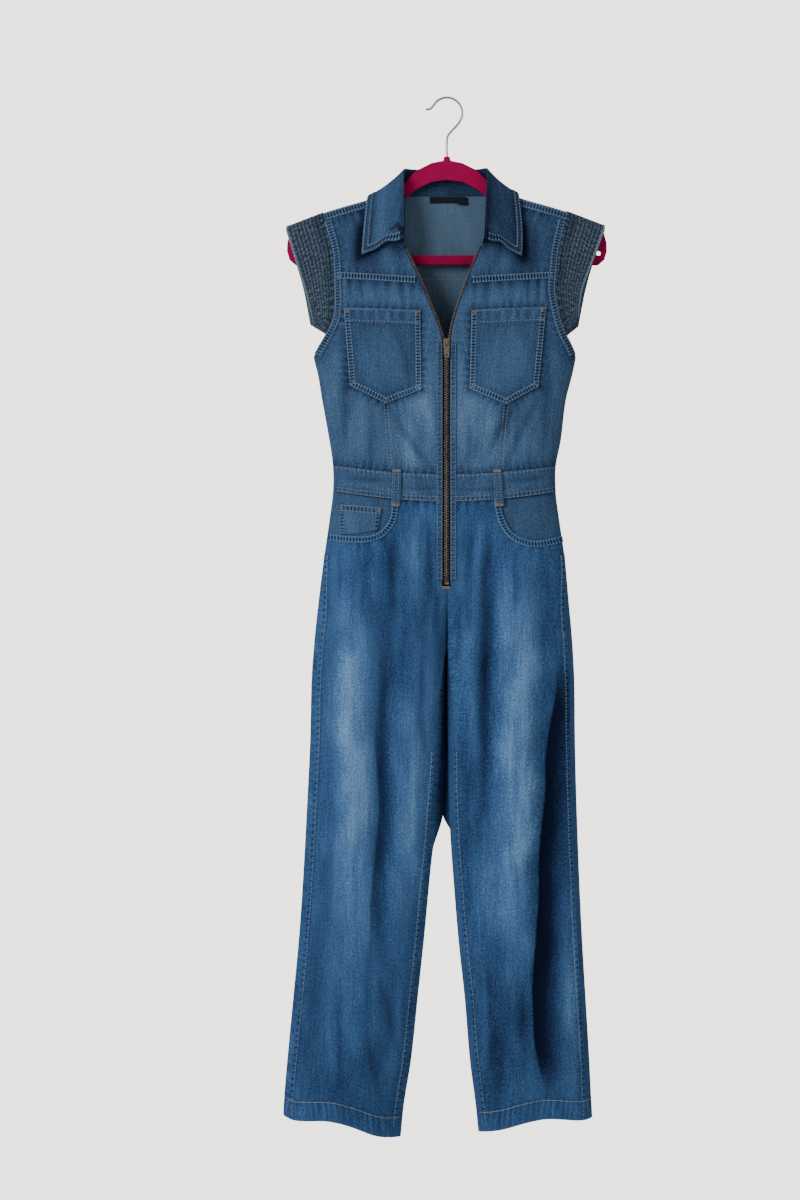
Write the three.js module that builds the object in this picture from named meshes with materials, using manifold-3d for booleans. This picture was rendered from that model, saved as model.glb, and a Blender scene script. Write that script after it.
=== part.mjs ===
// A denim jumpsuit with cap sleeves, hung flat on a moulded hanger.
// Millimetres, +Z up, +X to the viewer's right, +Y towards the wall behind.
// The origin is the inside of the hook's top, where the whole weight hangs.
import * as THREE from "three";
import { mergeVertices } from "three/addons/utils/BufferGeometryUtils.js";
import Module from "manifold-3d";

const wasm = await Module();
wasm.setup();

// Cloth
const CLOTH = 1.5; // one layer of denim with its seam allowance behind it
const HEM_CLOTH = 2.8; // a leg's turned-up hem, two layers
const SEAM = 0.3; // between two pieces that are sewn together
const HALF_SEAM = SEAM / 2;
const LAID = 0.5; // between a patch and the panel that it is sewn on
const UNDER = 0.8; // between a panel and the cloth that lies behind it
const ROUND = 0.9; // how full the side folds are, 1 is an ellipse

// Heights of the seams, measured down from the hook
const UNDERARM = -363;
const WAIST_TOP = { side: -516, front: -528 };
const WAIST_FOOT = { side: -552, front: -566 };
const YOKE_SEAM = { armhole: -253, zip: -261, back: -257 };
const CROTCH = -765;
const FORK = 80; // the middle seams curve back to the crotch over this height
const PARTING = 20; // the legs part from the middle line over this height
const HEM_HIGH = 28; // from a leg's edge up to the hem stitching
const LEG_LONG = 680; // from the hem up to the crotch
const HEM_LEVEL = -1440;
const WAIST_HALF = 152;

// The zip
const ZIP_X = -1;
const ZIP_HALF = 5.2; // half of the slit between the two fronts
const ZIP_FOOT = -684;
const SLIDER_TOP = -340;
const COLLAR_END = -206;
const CHAIN_HALF = 3.2;
const CHAIN_THICK = 2.1;
const CHAIN_PROUD = 0.6; // the teeth stand this far out of the cloth
const TAPE = 1.0;
const TAPE_WIDE = 13;
const TAPE_FOOT = ZIP_FOOT + 1.2;
const TAPE_INSET = 2.2; // behind the edge of each front, where the zip is open
const TEETH = { inner: 3.6, outer: 0.8 }; // an open row's two sides, from the edge of its front
const TEETH_END = 0.4; // between the teeth and the stop or the slider
const STOP_TOP = ZIP_FOOT + 4.7;
const SLIDER = { high: 13, half: 4.6, thick: 3.5, crownHalf: 1.2, crownOut: 4.2 };

// The hanger
const HANGER_THICK = 6;
const SHOULDER_ROUND = 5.8; // radius of the cloth where it turns over the hanger
const SHOULDER_FALL = 70; // the cloth swings out to its full depth over this height
const ARM_BELOW = 2.2; // the hanger's arm lies this far below the cloth's outside
const NECK_RISE = 40; // the shoulder line runs on this high over the open neck

// The silhouette seen from the front, and how far front and back hang from the hanger's plane
const OUTLINE = [
  { z: -120, left: -190, right: 184, front: 22, back: 13 },
  { z: -200, left: -190, right: 184, front: 28, back: 15 },
  { z: -260, left: -190, right: 184, front: 33, back: 17 },
  { z: -330, left: -189, right: 183, front: 36, back: 19 },
  { z: -363, left: -187, right: 181, front: 35.5, back: 19 },
  { z: -388, left: -181, right: 176, front: 34, back: 19 },
  { z: -424, left: -175, right: 167, front: 31, back: 18 },
  { z: -480, left: -165, right: 160, front: 28, back: 17 },
  { z: -516, left: -160, right: 153, front: 27, back: 17 },
  { z: -552, left: -160, right: 153, front: 27, back: 17 },
  { z: -592, left: -165, right: 158, front: 30, back: 19 },
  { z: -648, left: -173, right: 166, front: 34, back: 22 },
  { z: -704, left: -180, right: 171, front: 36, back: 23 },
  { z: -760, left: -186, right: 176, front: 37, back: 23 },
  { z: -816, left: -190, right: 179, front: 36, back: 22 },
  { z: -900, left: -192, right: 180, front: 34, back: 21 },
  { z: -984, left: -196, right: 182, front: 33, back: 21 },
  { z: -1095, left: -202, right: 186, front: 33, back: 21 },
  { z: -1180, left: -208, right: 190, front: 33, back: 21 },
  { z: -1264, left: -216, right: 195, front: 34, back: 21 },
  { z: -1348, left: -224, right: 200, front: 34, back: 22 },
  { z: -1410, left: -229, right: 203, front: 35, back: 23 },
  { z: -1470, left: -231, right: 207, front: 35, back: 23 },
];
// The inner silhouette of each leg
const INSIDE = [
  { z: -765, left: -1.2, right: 0.6 },
  { z: -800, left: -3, right: 0.6 },
  { z: -844, left: -5, right: 0.8 },
  { z: -900, left: -8, right: 1.5 },
  { z: -984, left: -14, right: 2.5 },
  { z: -1040, left: -18.5, right: 5 },
  { z: -1095, left: -24, right: 9 },
  { z: -1180, left: -32, right: 16 },
  { z: -1264, left: -41, right: 25 },
  { z: -1348, left: -50, right: 32 },
  { z: -1410, left: -60, right: 40 },
  { z: -1470, left: -66, right: 46 },
];
// The hem's edge across each leg, from the outer side (0) to the inner side (1)
const HEM_EDGE = [
  { across: 0, left: -1425, right: -1428 },
  { across: 0.1, left: -1430, right: -1430 },
  { across: 0.38, left: -1429.5, right: -1426 },
  { across: 0.57, left: -1437, right: -1431 },
  { across: 0.8, left: -1451, right: -1442 },
  { across: 1, left: -1455, right: -1448 },
];
// The sewn edge of the armhole, from the shoulder down to the underarm
const ARMHOLE = [
  { z: -168, left: -173, right: 167 },
  { z: -215, left: -160, right: 156 },
  { z: -243, left: -158, right: 153 },
  { z: -268, left: -157.5, right: 150.5 },
  { z: -292, left: -157, right: 154 },
  { z: -314, left: -160, right: 159 },
  { z: -331, left: -168, right: 165 },
  { z: -348, left: -178, right: 174 },
  { z: -363, left: -187, right: 181 },
];
// The fronts' inner edge: the neck seam, the open zip, then the closed zip
const FRONT_EDGE = [
  { z: -130, left: -75.5, right: 75.5 },
  { z: -152, left: -73, right: 71 },
  { z: -180, left: -68, right: 62 },
  { z: -206, left: -62, right: 50 },
  { z: -234, left: -49, right: 38 },
  { z: -262, left: -36.5, right: 27 },
  { z: -290, left: -25, right: 17.5 },
  { z: -318, left: -14, right: 9 },
  { z: -338, left: -7.6, right: 5.4 },
  { z: -350, left: ZIP_X - ZIP_HALF, right: ZIP_X + ZIP_HALF },
  { z: -560, left: ZIP_X - ZIP_HALF, right: ZIP_X + ZIP_HALF },
];
// The top of the shoulders, out from the middle
const SHOULDER = [
  { x: 75, z: -131 },
  { x: 113, z: -142.5 },
  { x: 150, z: -153 },
  { x: 175, z: -161 },
  { x: 225, z: -180 },
];
// Large folds: a run from one place to another, its half width, and its height (a valley is below 0)
const FRONT_FOLDS = [
  { x: -134, z: -660, toX: -140, toZ: -1260, wide: 26, high: 7 },
  { x: -76, z: -640, toX: -95, toZ: -1280, wide: 18, high: -8 },
  { x: -50, z: -820, toX: -56, toZ: -1180, wide: 18, high: 3 },
  { x: -74, z: -600, toX: -70, toZ: -720, wide: 16, high: -4 },
  { x: -26, z: -590, toX: -20, toZ: -740, wide: 15, high: -4 },
  { x: -100, z: -1200, toX: -128, toZ: -1420, wide: 22, high: 5 },
  { x: 100, z: -620, toX: 98, toZ: -1230, wide: 28, high: 8 },
  { x: 150, z: -690, toX: 126, toZ: -1430, wide: 18, high: -11 },
  { x: 64, z: -600, toX: 50, toZ: -1050, wide: 16, high: -6 },
  { x: 34, z: -620, toX: 38, toZ: -940, wide: 16, high: 4 },
  { x: 172, z: -900, toX: 176, toZ: -1420, wide: 16, high: 5 },
  { x: -48, z: -432, toX: -26, toZ: -515, wide: 16, high: -3.5 },
  { x: 96, z: -434, toX: 42, toZ: -515, wide: 18, high: -3.5 },
  { x: -120, z: -170, toX: -104, toZ: -252, wide: 20, high: -3 },
  { x: 112, z: -170, toX: 104, toZ: -252, wide: 20, high: -3 },
];
const BACK_FOLDS = [
  { x: -70, z: -280, toX: -60, toZ: -500, wide: 26, high: 3 },
  { x: 74, z: -280, toX: 58, toZ: -500, wide: 26, high: 3 },
  { x: -20, z: -300, toX: 12, toZ: -510, wide: 24, high: -3 },
  { x: -118, z: -640, toX: -128, toZ: -1300, wide: 26, high: 4 },
  { x: -70, z: -700, toX: -84, toZ: -1380, wide: 22, high: -6 },
  { x: 112, z: -640, toX: 116, toZ: -1300, wide: 26, high: 4 },
  { x: 66, z: -700, toX: 78, toZ: -1380, wide: 22, high: -6 },
];

// Small tools

const clamp = (value, low = 0, high = 1) => Math.min(high, Math.max(low, value));
const lerp = (a, b, share) => a + (b - a) * share;
const smooth = (value) => clamp(value) ** 2 * (3 - 2 * clamp(value));
const side = (left) => (left ? "left" : "right");

// Reads a column of a table at a place between its rows, along a smooth curve.
function read(table, key, at, column) {
  const falling = table[0][key] > table[1][key];
  let i = table.findIndex((row) => (falling ? row[key] < at : row[key] > at));
  if (i === 0) return table[0][column];
  if (i < 0) return table[table.length - 1][column];
  const a = table[i - 1];
  const b = table[i];
  const before = table[Math.max(i - 2, 0)];
  const after = table[Math.min(i + 1, table.length - 1)];
  const slope = (p, q) => (p === q ? 0 : (q[column] - p[column]) / (q[key] - p[key]));
  const span = b[key] - a[key];
  const t = (at - a[key]) / span;
  const start = slope(before, b) * span;
  const end = slope(a, after) * span;
  const t2 = t * t;
  const t3 = t2 * t;
  return (
    (2 * t3 - 3 * t2 + 1) * a[column] + (t3 - 2 * t2 + t) * start +
    (3 * t2 - 2 * t3) * b[column] + (t3 - t2) * end
  );
}

// A closed wall of cloth. face(u, v) is its surface with u and v from 0 to 1, and front is
// the way the outside looks. It is lifted off that surface, and its thickness goes inwards.
function wall(face, columns, rows, { front, lift = 0, thick = CLOTH, across = null, along = null }) {
  const step = 1e-3;
  const offset = (given, u, v) => (typeof given === "function" ? given(u, v) : given);
  const normalAt = (u, v) => {
    const low = (t) => Math.max(0, t - step);
    const high = (t) => Math.min(1, t + step);
    const du = face(high(u), v).sub(face(low(u), v));
    const dv = face(u, high(v)).sub(face(u, low(v)));
    return du.cross(dv).normalize();
  };
  const turn = normalAt(0.5, 0.5).dot(front) < 0 ? -1 : 1;
  const outer = [];
  const inner = [];
  for (let j = 0; j <= rows; j++) {
    for (let i = 0; i <= columns; i++) {
      const u = across ? across[i] : i / columns;
      const v = along ? along[j] : j / rows;
      const normal = normalAt(u, v).multiplyScalar(turn);
      const out = face(u, v).addScaledVector(normal, offset(lift, u, v));
      outer.push(out);
      inner.push(out.clone().addScaledVector(normal, -offset(thick, u, v)));
    }
  }
  const points = [...outer, ...inner];
  const behind = outer.length;
  const at = (i, j) => j * (columns + 1) + i;
  const faces = [];
  const quad = (a, b, c, d) => faces.push([a, b, c], [a, c, d]);
  for (let j = 0; j < rows; j++) {
    for (let i = 0; i < columns; i++) {
      const ring = [at(i, j), at(i + 1, j), at(i + 1, j + 1), at(i, j + 1)];
      const [a, b, c, d] = ring.map((k) => k + behind);
      quad(...ring);
      quad(c, b, a, d);
    }
  }
  const rim = (a, b) => quad(b, a, a + behind, b + behind);
  for (let i = 0; i < columns; i++) {
    rim(at(i, 0), at(i + 1, 0));
    rim(at(i + 1, rows), at(i, rows));
  }
  for (let j = 0; j < rows; j++) {
    rim(at(0, j + 1), at(0, j));
    rim(at(columns, j), at(columns, j + 1));
  }
  return closed(points, faces);
}

// A geometry from points and triangles, with its faces turned outwards.
function closed(points, faces) {
  const volume = faces.reduce((sum, [a, b, c]) => {
    const cross = points[b].clone().cross(points[c]);
    return sum + points[a].dot(cross);
  }, 0);
  const index = volume < 0 ? faces.flatMap(([a, b, c]) => [a, c, b]) : faces.flat();
  const geometry = new THREE.BufferGeometry();
  geometry.setFromPoints(points);
  geometry.setIndex(index);
  return geometry;
}

// A three.js geometry as a manifold-3d solid, and back.
function solid(geometry) {
  const bare = geometry.clone();
  bare.deleteAttribute("normal");
  bare.deleteAttribute("uv");
  const merged = mergeVertices(bare, 1e-4);
  return new wasm.Manifold(
    new wasm.Mesh({
      numProp: 3,
      vertProperties: new Float32Array(merged.attributes.position.array),
      triVerts: new Uint32Array(merged.index.array),
    }),
  );
}

function geometryOf(shape) {
  const mesh = shape.getMesh();
  const geometry = new THREE.BufferGeometry();
  geometry.setAttribute("position", new THREE.BufferAttribute(new Float32Array(mesh.vertProperties), 3));
  geometry.setIndex(new THREE.BufferAttribute(new Uint32Array(mesh.triVerts), 1));
  return geometry;
}

// A flat outline in the front plane, pushed through from one depth to another.
function frontPrism(shape, fromY, toY, curveSegments = 6) {
  const geometry = new THREE.ExtrudeGeometry(shape, {
    depth: toY - fromY, bevelEnabled: false, curveSegments,
  });
  geometry.rotateX(Math.PI / 2);
  geometry.translate(0, toY, 0);
  return geometry;
}

// The body of the garment

const outline = (left, z) => read(OUTLINE, "z", z, side(left));

// The inner edge of one half: the middle line above the crotch, the leg's inside below it.
function inside(left, z) {
  if (z >= CROTCH) return left ? -HALF_SEAM : HALF_SEAM;
  const legs = read(INSIDE, "z", z, side(left));
  const parted = smooth((CROTCH - z) / PARTING);
  return lerp(left ? -HALF_SEAM : HALF_SEAM, legs, parted);
}

const shoulderTop = (x) => {
  const out = Math.abs(x);
  const neck = SHOULDER[0];
  if (out < neck.x) return neck.z + NECK_RISE * (1 - (out / neck.x) ** 2);
  return read(SHOULDER, "x", out, "z");
};

const foldsAt = (folds, x, z) =>
  folds.reduce((sum, fold) => {
    const t = (fold.z - z) / (fold.z - fold.toZ);
    if (t <= 0 || t >= 1) return sum;
    const off = (x - lerp(fold.x, fold.toX, t)) / fold.wide;
    return sum + fold.high * Math.exp(-off * off) * Math.sin(Math.PI * t) ** 0.8;
  }, 0);

// A point of the cloth's outside. The angle turns from the side fold (0) over the front to
// the middle or the inner leg (pi), and below 0 it turns over the back.
function bodyPoint(left, angle, z, isFront) {
  const inner = inside(left, z);
  const outer = outline(left, z);
  const half = (outer - inner) / 2;
  const x = (outer + inner) / 2 + half * Math.cos(angle);
  const fold = Math.abs(Math.sin(angle)) ** ROUND;
  const legs = smooth((CROTCH + FORK - z) / FORK);
  const share = Math.cos(angle) < 0 ? lerp(1, fold, legs) : fold;
  const below = Math.max(0, shoulderTop(x) - SHOULDER_ROUND - z);
  const swung = 1 - Math.exp(-below / SHOULDER_FALL);
  const folds = foldsAt(isFront ? FRONT_FOLDS : BACK_FOLDS, x, z);
  const depth = (read(OUTLINE, "z", z, isFront ? "front" : "back") + folds * swung) * share;
  const out = Math.hypot(lerp(SHOULDER_ROUND, depth, swung), HALF_SEAM);
  return new THREE.Vector3(x, isFront ? -out : out, z);
}

// The same surface, by its place in the front view.
function bodyAt(x, z, isFront = true, left = x < 0) {
  const inner = inside(left, z);
  const outer = outline(left, z);
  const cosine = clamp((x - (outer + inner) / 2) / ((outer - inner) / 2), -1, 1);
  const angle = Math.acos(cosine);
  const point = bodyPoint(left, isFront ? angle : -angle, z, isFront);
  point.x = x;
  return point;
}

const waistSeam = (seam, x, isFront) =>
  isFront ? lerp(seam.front, seam.side, clamp(Math.abs(x) / WAIST_HALF) ** 2) : seam.side;

const FRONT = new THREE.Vector3(0, -1, 0);
const BACK = new THREE.Vector3(0, 1, 0);

// Columns stand closer together where the cloth turns round at the side.
const towardsSide = (u) => 1 - (1 - u) ** 1.7;
const towardsBothSides = (u) => Math.sin(Math.PI * (u - 0.5)) / 2 + 0.5;

// Fronts, from the yoke seam down to the waist. The rows have a corner at the underarm.
const BODICE_ROWS = [9, 6];
const UNDERARM_SHARE = (UNDERARM - WAIST_TOP.side) / (YOKE_SEAM.armhole - WAIST_TOP.side);
const bodiceRows = [
  ...Array.from({ length: BODICE_ROWS[0] }, (_, j) => (UNDERARM_SHARE * j) / BODICE_ROWS[0]),
  ...Array.from({ length: BODICE_ROWS[1] + 1 }, (_, j) =>
    lerp(UNDERARM_SHARE, 1, j / BODICE_ROWS[1])),
];

const outerEdge = (left, z) =>
  z > UNDERARM ? read(ARMHOLE, "z", z, side(left)) : outline(left, z);

function bodiceFront(left) {
  const face = (u, v) => {
    const zIn = lerp(WAIST_TOP.front + HALF_SEAM, YOKE_SEAM.zip - HALF_SEAM, v);
    const zOut = lerp(WAIST_TOP.side + HALF_SEAM, YOKE_SEAM.armhole - HALF_SEAM, v);
    const across = towardsSide(u);
    const xIn = read(FRONT_EDGE, "z", zIn, side(left));
    const x = lerp(xIn, outerEdge(left, zOut), across);
    const bow = waistSeam(WAIST_TOP, x, true) - lerp(WAIST_TOP.front, WAIST_TOP.side, across);
    return bodyAt(x, lerp(zIn, zOut, across) + bow * (1 - v) ** 2, true, left);
  };
  return wall(face, 12, bodiceRows.length - 1, { front: FRONT, along: bodiceRows });
}

function bodiceBack() {
  const face = (u, v) => {
    const z = lerp(WAIST_TOP.side + HALF_SEAM, YOKE_SEAM.back - HALF_SEAM, v);
    const x = lerp(outerEdge(true, z), outerEdge(false, z), towardsBothSides(u));
    return bodyAt(x, z, false);
  };
  return wall(face, 18, bodiceRows.length - 1, { front: BACK, along: bodiceRows });
}

// Front yokes, from the yoke seam up to the shoulder seam, which lies in front of the shoulder.
const SHOULDER_SEAM = 11; // the back yoke comes over the shoulder and this far down the front
const SHOULDER_TIP = -173; // height of the front yoke's outer corner

function yokeFront(left) {
  const way = left ? -1 : 1;
  const neck = { x: way * SHOULDER[0].x, z: SHOULDER[0].z - SHOULDER_SEAM - SEAM };
  const tip = { x: read(ARMHOLE, "z", SHOULDER_TIP, side(left)), z: 0 };
  tip.z = shoulderTop(tip.x) - SHOULDER_SEAM - SEAM;
  const face = (u, v) => {
    const zIn = lerp(YOKE_SEAM.zip + HALF_SEAM, neck.z, v);
    const zOut = lerp(YOKE_SEAM.armhole + HALF_SEAM, tip.z, v);
    const xIn = read(FRONT_EDGE, "z", zIn, side(left));
    const x = lerp(xIn, read(ARMHOLE, "z", zOut, side(left)), u);
    const top = shoulderTop(Math.max(Math.abs(x), SHOULDER[0].x)) - SHOULDER_SEAM - SEAM;
    const bow = top - lerp(neck.z, tip.z, u);
    return bodyAt(x, lerp(zIn, zOut, u) + bow * v ** 3, true, left);
  };
  return wall(face, 9, 7, { front: FRONT });
}

// The back yoke rises to the shoulders, turns over the hanger and ends on the front.
const NECK_BACK = -136;
const NECK_CORNER = 75.5;
const NECK_NOTCH = { out: 0.6, in: 1.4 }; // the shoulder's last column, and the neck's first one
const YOKE_ENDS = { left: ARMHOLE[0].left, right: ARMHOLE[0].right };
const SQUEEZE = { from: 80, over: 60 }; // the yoke narrows to the armholes in this stretch

function yokeBack() {
  const ends = YOKE_ENDS;
  const [shoulder, neck] = [NECK_CORNER + NECK_NOTCH.out, NECK_CORNER - NECK_NOTCH.in];
  const columns = [
    ...[0, 0.17, 0.34, 0.51, 0.68, 0.84, 1].map((t) => lerp(ends.left, -shoulder, t)),
    ...[0, 0.2, 0.4, 0.6, 0.8, 1].map((t) => lerp(-neck, neck, t)),
    ...[0, 0.16, 0.32, 0.49, 0.66, 0.83, 1].map((t) => lerp(shoulder, ends.right, t)),
  ];
  const across = columns.map((x) => (x - ends.left) / (ends.right - ends.left));
  const low = YOKE_SEAM.back + HALF_SEAM;
  const turned = 0.55; // up to this share the yoke rises, and up to the next it turns over
  const over = 0.9;
  const face = (u, v) => {
    const place = lerp(ends.left, ends.right, u);
    const isNeck = Math.abs(place) < NECK_CORNER;
    const top = shoulderTop(place) - SHOULDER_ROUND;
    const xAt = (z) => {
      const edge = side(place < 0);
      const squeeze = read(ARMHOLE, "z", z, edge) / ends[edge];
      return place * lerp(1, squeeze, smooth((Math.abs(place) - SQUEEZE.from) / SQUEEZE.over));
    };
    const rise = (z) => bodyAt(xAt(z), z, false);
    if (isNeck) return rise(lerp(low, NECK_BACK, v));
    if (v < turned) return rise(lerp(low, top, v / turned));
    const bend = Math.PI * clamp((v - turned) / (over - turned));
    const down = (SHOULDER_SEAM - SHOULDER_ROUND) * Math.max(0, (v - over) / (1 - over));
    const z = top + SHOULDER_ROUND * Math.sin(bend) - down;
    return new THREE.Vector3(xAt(z), SHOULDER_ROUND * Math.cos(bend), z);
  };
  const bends = [0.25, 0.5, 0.75].map((t) => lerp(turned, over, t));
  const along = [0, 0.16, 0.32, 0.46, turned, ...bends, over, 1];
  return wall(face, across.length - 1, along.length - 1, { front: BACK, across, along });
}

// Waistband, a doubled strip that stands a little proud of the panels.
const BAND_PROUD = 0.7;

function waistband(isFront, left) {
  const face = (u, v) => {
    const middle = lerp(WAIST_FOOT.side + HALF_SEAM, WAIST_TOP.side - HALF_SEAM, v);
    let x;
    if (isFront) {
      const edge = ZIP_X + (left ? -ZIP_HALF : ZIP_HALF);
      x = lerp(edge, outline(left, middle), towardsSide(u));
    } else {
      x = lerp(outline(true, middle), outline(false, middle), towardsBothSides(u));
    }
    const foot = waistSeam(WAIST_FOOT, x, isFront) + HALF_SEAM;
    const top = waistSeam(WAIST_TOP, x, isFront) - HALF_SEAM;
    return bodyAt(x, lerp(foot, top, v), isFront, isFront ? left : x < 0);
  };
  return wall(face, isFront ? 10 : 16, 2, { front: isFront ? FRONT : BACK, lift: BAND_PROUD });
}

// Legs. The back panel wraps a little way round to the front at both seams.
const WRAP = 9;
const SIDE_WRAP = { from: -620, over: 120 }; // where the wrap begins, and how soon it is full
const INNER_WRAP = { from: CROTCH, over: 110 };
const LEG_HALF = 90; // about half a leg's width
const CROTCH_SHARE = 0.77; // of the way from the hem to the waistband
const LEG_COLUMNS = 10;
const LEG_ROWS = { below: 16, above: 7 };

function seamAngles(left, z) {
  const half = Math.abs(outline(left, z) - inside(left, z)) / 2;
  const wrapAt = ({ from, over }) => Math.acos(1 - (WRAP * smooth((from - z) / over)) / half);
  return { side: wrapAt(SIDE_WRAP), inner: Math.PI - wrapAt(INNER_WRAP) };
}

// The back panel's wrapped strips lie on the front half of the surface.
const wraps = (angle, isFront) => isFront || angle > 0 || angle < -Math.PI;

// A point on a leg, between the waistband (v 1) and the hem (v 0).
function legPoint(left, share, v, isFront) {
  const angleAt = (z) => {
    const seams = seamAngles(left, z);
    const gap = HALF_SEAM / LEG_HALF;
    return isFront ? lerp(seams.side + gap, seams.inner - gap, share)
      : lerp(seams.side - gap, seams.inner - 2 * Math.PI + gap, share);
  };
  const hemAt = (angle) => read(HEM_EDGE, "across", (1 - Math.cos(angle)) / 2, side(left));
  const heightFrom = (hem, waist) =>
    v < CROTCH_SHARE ? lerp(hem, CROTCH, v / CROTCH_SHARE)
      : lerp(CROTCH, waist, (v - CROTCH_SHARE) / (1 - CROTCH_SHARE));
  const angle = angleAt(heightFrom(HEM_LEVEL, WAIST_FOOT.side));
  const hem = hemAt(angle);
  const flat = bodyPoint(left, angle, heightFrom(hem, WAIST_FOOT.side), isFront);
  const waist = waistSeam(WAIST_FOOT, flat.x, isFront) - HALF_SEAM;
  return bodyPoint(left, angle, heightFrom(hem, waist), wraps(angle, isFront));
}

const hemShare = (CROTCH_SHARE * HEM_HIGH) / LEG_LONG;
const HEM_STEP = 0.002; // the hem's inner layer ends in a step of this share
const legRows = [0, hemShare, hemShare + HEM_STEP];
for (let j = 1; j <= LEG_ROWS.below; j++)
  legRows.push(lerp(legRows[2], CROTCH_SHARE, j / LEG_ROWS.below));
for (let j = 1; j <= LEG_ROWS.above; j++)
  legRows.push(lerp(CROTCH_SHARE, 1, j / LEG_ROWS.above));
const hemThick = (u, v) => (v <= legRows[1] + 1e-6 ? HEM_CLOTH : CLOTH);

function legBack(left) {
  const face = (u, v) => legPoint(left, u, v, false);
  return wall(face, 14, legRows.length - 1, { front: BACK, along: legRows, thick: hemThick });
}

// The front pocket's mouth, from behind the belt loop to the side seam
const MOUTH = {
  left: [[-74, -556], [-77, -574], [-79, -588], [-84, -598], [-92, -607], [-102, -612.5],
    [-115, -615], [-141, -614.5], [-164, -611.5], [-190, -608], [-190, -540], [-74, -540]],
  right: [[74, -556], [75, -574], [80, -592], [87, -605], [97, -614], [113, -620.5],
    [131, -621], [161, -614], [190, -607], [190, -540], [74, -540]],
};

const AHEAD = -80; // a plane in front of all the cloth

function legFront(left) {
  const face = (u, v) => legPoint(left, u, v, true);
  const whole = wall(face, LEG_COLUMNS, legRows.length - 1, {
    front: FRONT, along: legRows, thick: hemThick,
  });
  const mouth = new THREE.Shape(MOUTH[side(left)].map(([x, z]) => new THREE.Vector2(x, z)));
  const slit = new THREE.Shape();
  slit.moveTo(ZIP_X - ZIP_HALF, WAIST_TOP.side);
  slit.lineTo(ZIP_X - ZIP_HALF, ZIP_FOOT + ZIP_HALF);
  slit.absarc(ZIP_X, ZIP_FOOT + ZIP_HALF, ZIP_HALF, Math.PI, 2 * Math.PI, false);
  slit.lineTo(ZIP_X + ZIP_HALF, WAIST_TOP.side);
  const cut = solid(whole)
    .subtract(solid(frontPrism(mouth, AHEAD, CLOTH)))
    .subtract(solid(frontPrism(slit, AHEAD, 0)));
  return geometryOf(cut);
}

// The facing that shows inside the front pocket's mouth, on the same grid as the leg front
const FACING = { columns: 6, rows: 3 };

function pocketFacing(left) {
  const low = 1 - ((1 - CROTCH_SHARE) * FACING.rows) / LEG_ROWS.above;
  const wide = FACING.columns / LEG_COLUMNS;
  const face = (u, v) => legPoint(left, wide * u, lerp(low, 1, v), true);
  return wall(face, FACING.columns, FACING.rows, { front: FRONT, lift: -(CLOTH + UNDER) });
}

// Patches on the panels

// A five-sided patch: its corners are given as the wearer's side left, right and the tip.
function chestPocket(left) {
  const corners = left
    ? { top: [[-144, -296.5], [-37, -300.5]], foot: [[-135, -404.5], [-35.5, -410.5]], tip: [-85.5, -430] }
    : { top: [[33.5, -300], [138, -295.5]], foot: [[31, -409], [127, -406]], tip: [82.5, -431] };
  const face = (u, v) => {
    const footZ = u < 0.5
      ? lerp(corners.foot[0][1], corners.tip[1], u * 2)
      : lerp(corners.tip[1], corners.foot[1][1], u * 2 - 1);
    const footX = lerp(corners.foot[0][0], corners.foot[1][0], u);
    const topX = lerp(corners.top[0][0], corners.top[1][0], u);
    const topZ = lerp(corners.top[0][1], corners.top[1][1], u);
    const x = lerp(footX, topX, v);
    return bodyAt(x, lerp(footZ, topZ, v), true, left);
  };
  return wall(face, 10, 8, { front: FRONT, lift: CLOTH + LAID });
}

function coinPocket() {
  const face = (u, v) => {
    const x = lerp(lerp(-150, -151, v), lerp(-96, -91, v), u);
    const foot = lerp(-607, -600, u ** 2);
    return bodyAt(x, lerp(foot, lerp(-569.5, -574.5, u), v), true, true);
  };
  return wall(face, 6, 3, { front: FRONT, lift: LAID - UNDER });
}

// Belt loops: sewn down at both ends and standing off the waistband between them.
const LOOP_HALF = 6.5;
const LOOP_STANDS = 2.3; // room for a belt behind the middle of a loop
const LOOP_OVER = { top: 4, foot: 10 }; // how far a loop reaches past the waistband
const LOOPS = [
  { name: "belt_loop_front_left", x: -70, lean: -1.5, isFront: true },
  { name: "belt_loop_front_right", x: 69.5, lean: 3.5, isFront: true },
  { name: "belt_loop_back_left", x: -84, lean: 0, isFront: false },
  { name: "belt_loop_back_middle", x: 0, lean: 0, isFront: false },
  { name: "belt_loop_back_right", x: 80, lean: 0, isFront: false },
];

function beltLoop({ x, lean, isFront }) {
  const top = waistSeam(WAIST_TOP, x, isFront) + LOOP_OVER.top;
  const foot = waistSeam(WAIST_FOOT, x, isFront) - LOOP_OVER.foot;
  const face = (u, v) => {
    const place = x + lerp(lean, 0, v) + lerp(-LOOP_HALF, LOOP_HALF, u);
    return bodyAt(place, lerp(foot, top, v), isFront);
  };
  const lift = (u, v) => CLOTH + SEAM + LOOP_STANDS * Math.sin(Math.PI * v) ** 0.7;
  return wall(face, 2, 8, { front: isFront ? FRONT : BACK, lift });
}

// Cap sleeves: a stitched band folded over the hanger's end, open below and at its edge.
// Rows give the sleeve's seam and its free edge from the fold down to the corner.
const SLEEVE = {
  left: {
    seamZ: [0, -215, -268, -331],
    frontX: [-225, -208, -196.5, -186], frontZ: [0, -240, -276, -319],
    backX: [-225, -211, -201, -192], backZ: [0, -232, -268, -316],
  },
  right: {
    seamZ: [0, -215, -268, -334],
    frontX: [221, 203, 189, 183.5], frontZ: [0, -232, -270, -308],
    backX: [221, 206, 195, 185.5], backZ: [0, -228, -268, -318],
  },
};
const RIBS = 10;
const RIB_HIGH = 0.9;
const SLEEVE_SEAM = 0.85;
const SLEEVE_FALL = 60; // a sleeve swings out to its full depth over this height
const SLEEVE_OUT = { front: 21, back: 15 }; // the free edge's distance from the hanger's plane

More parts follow.
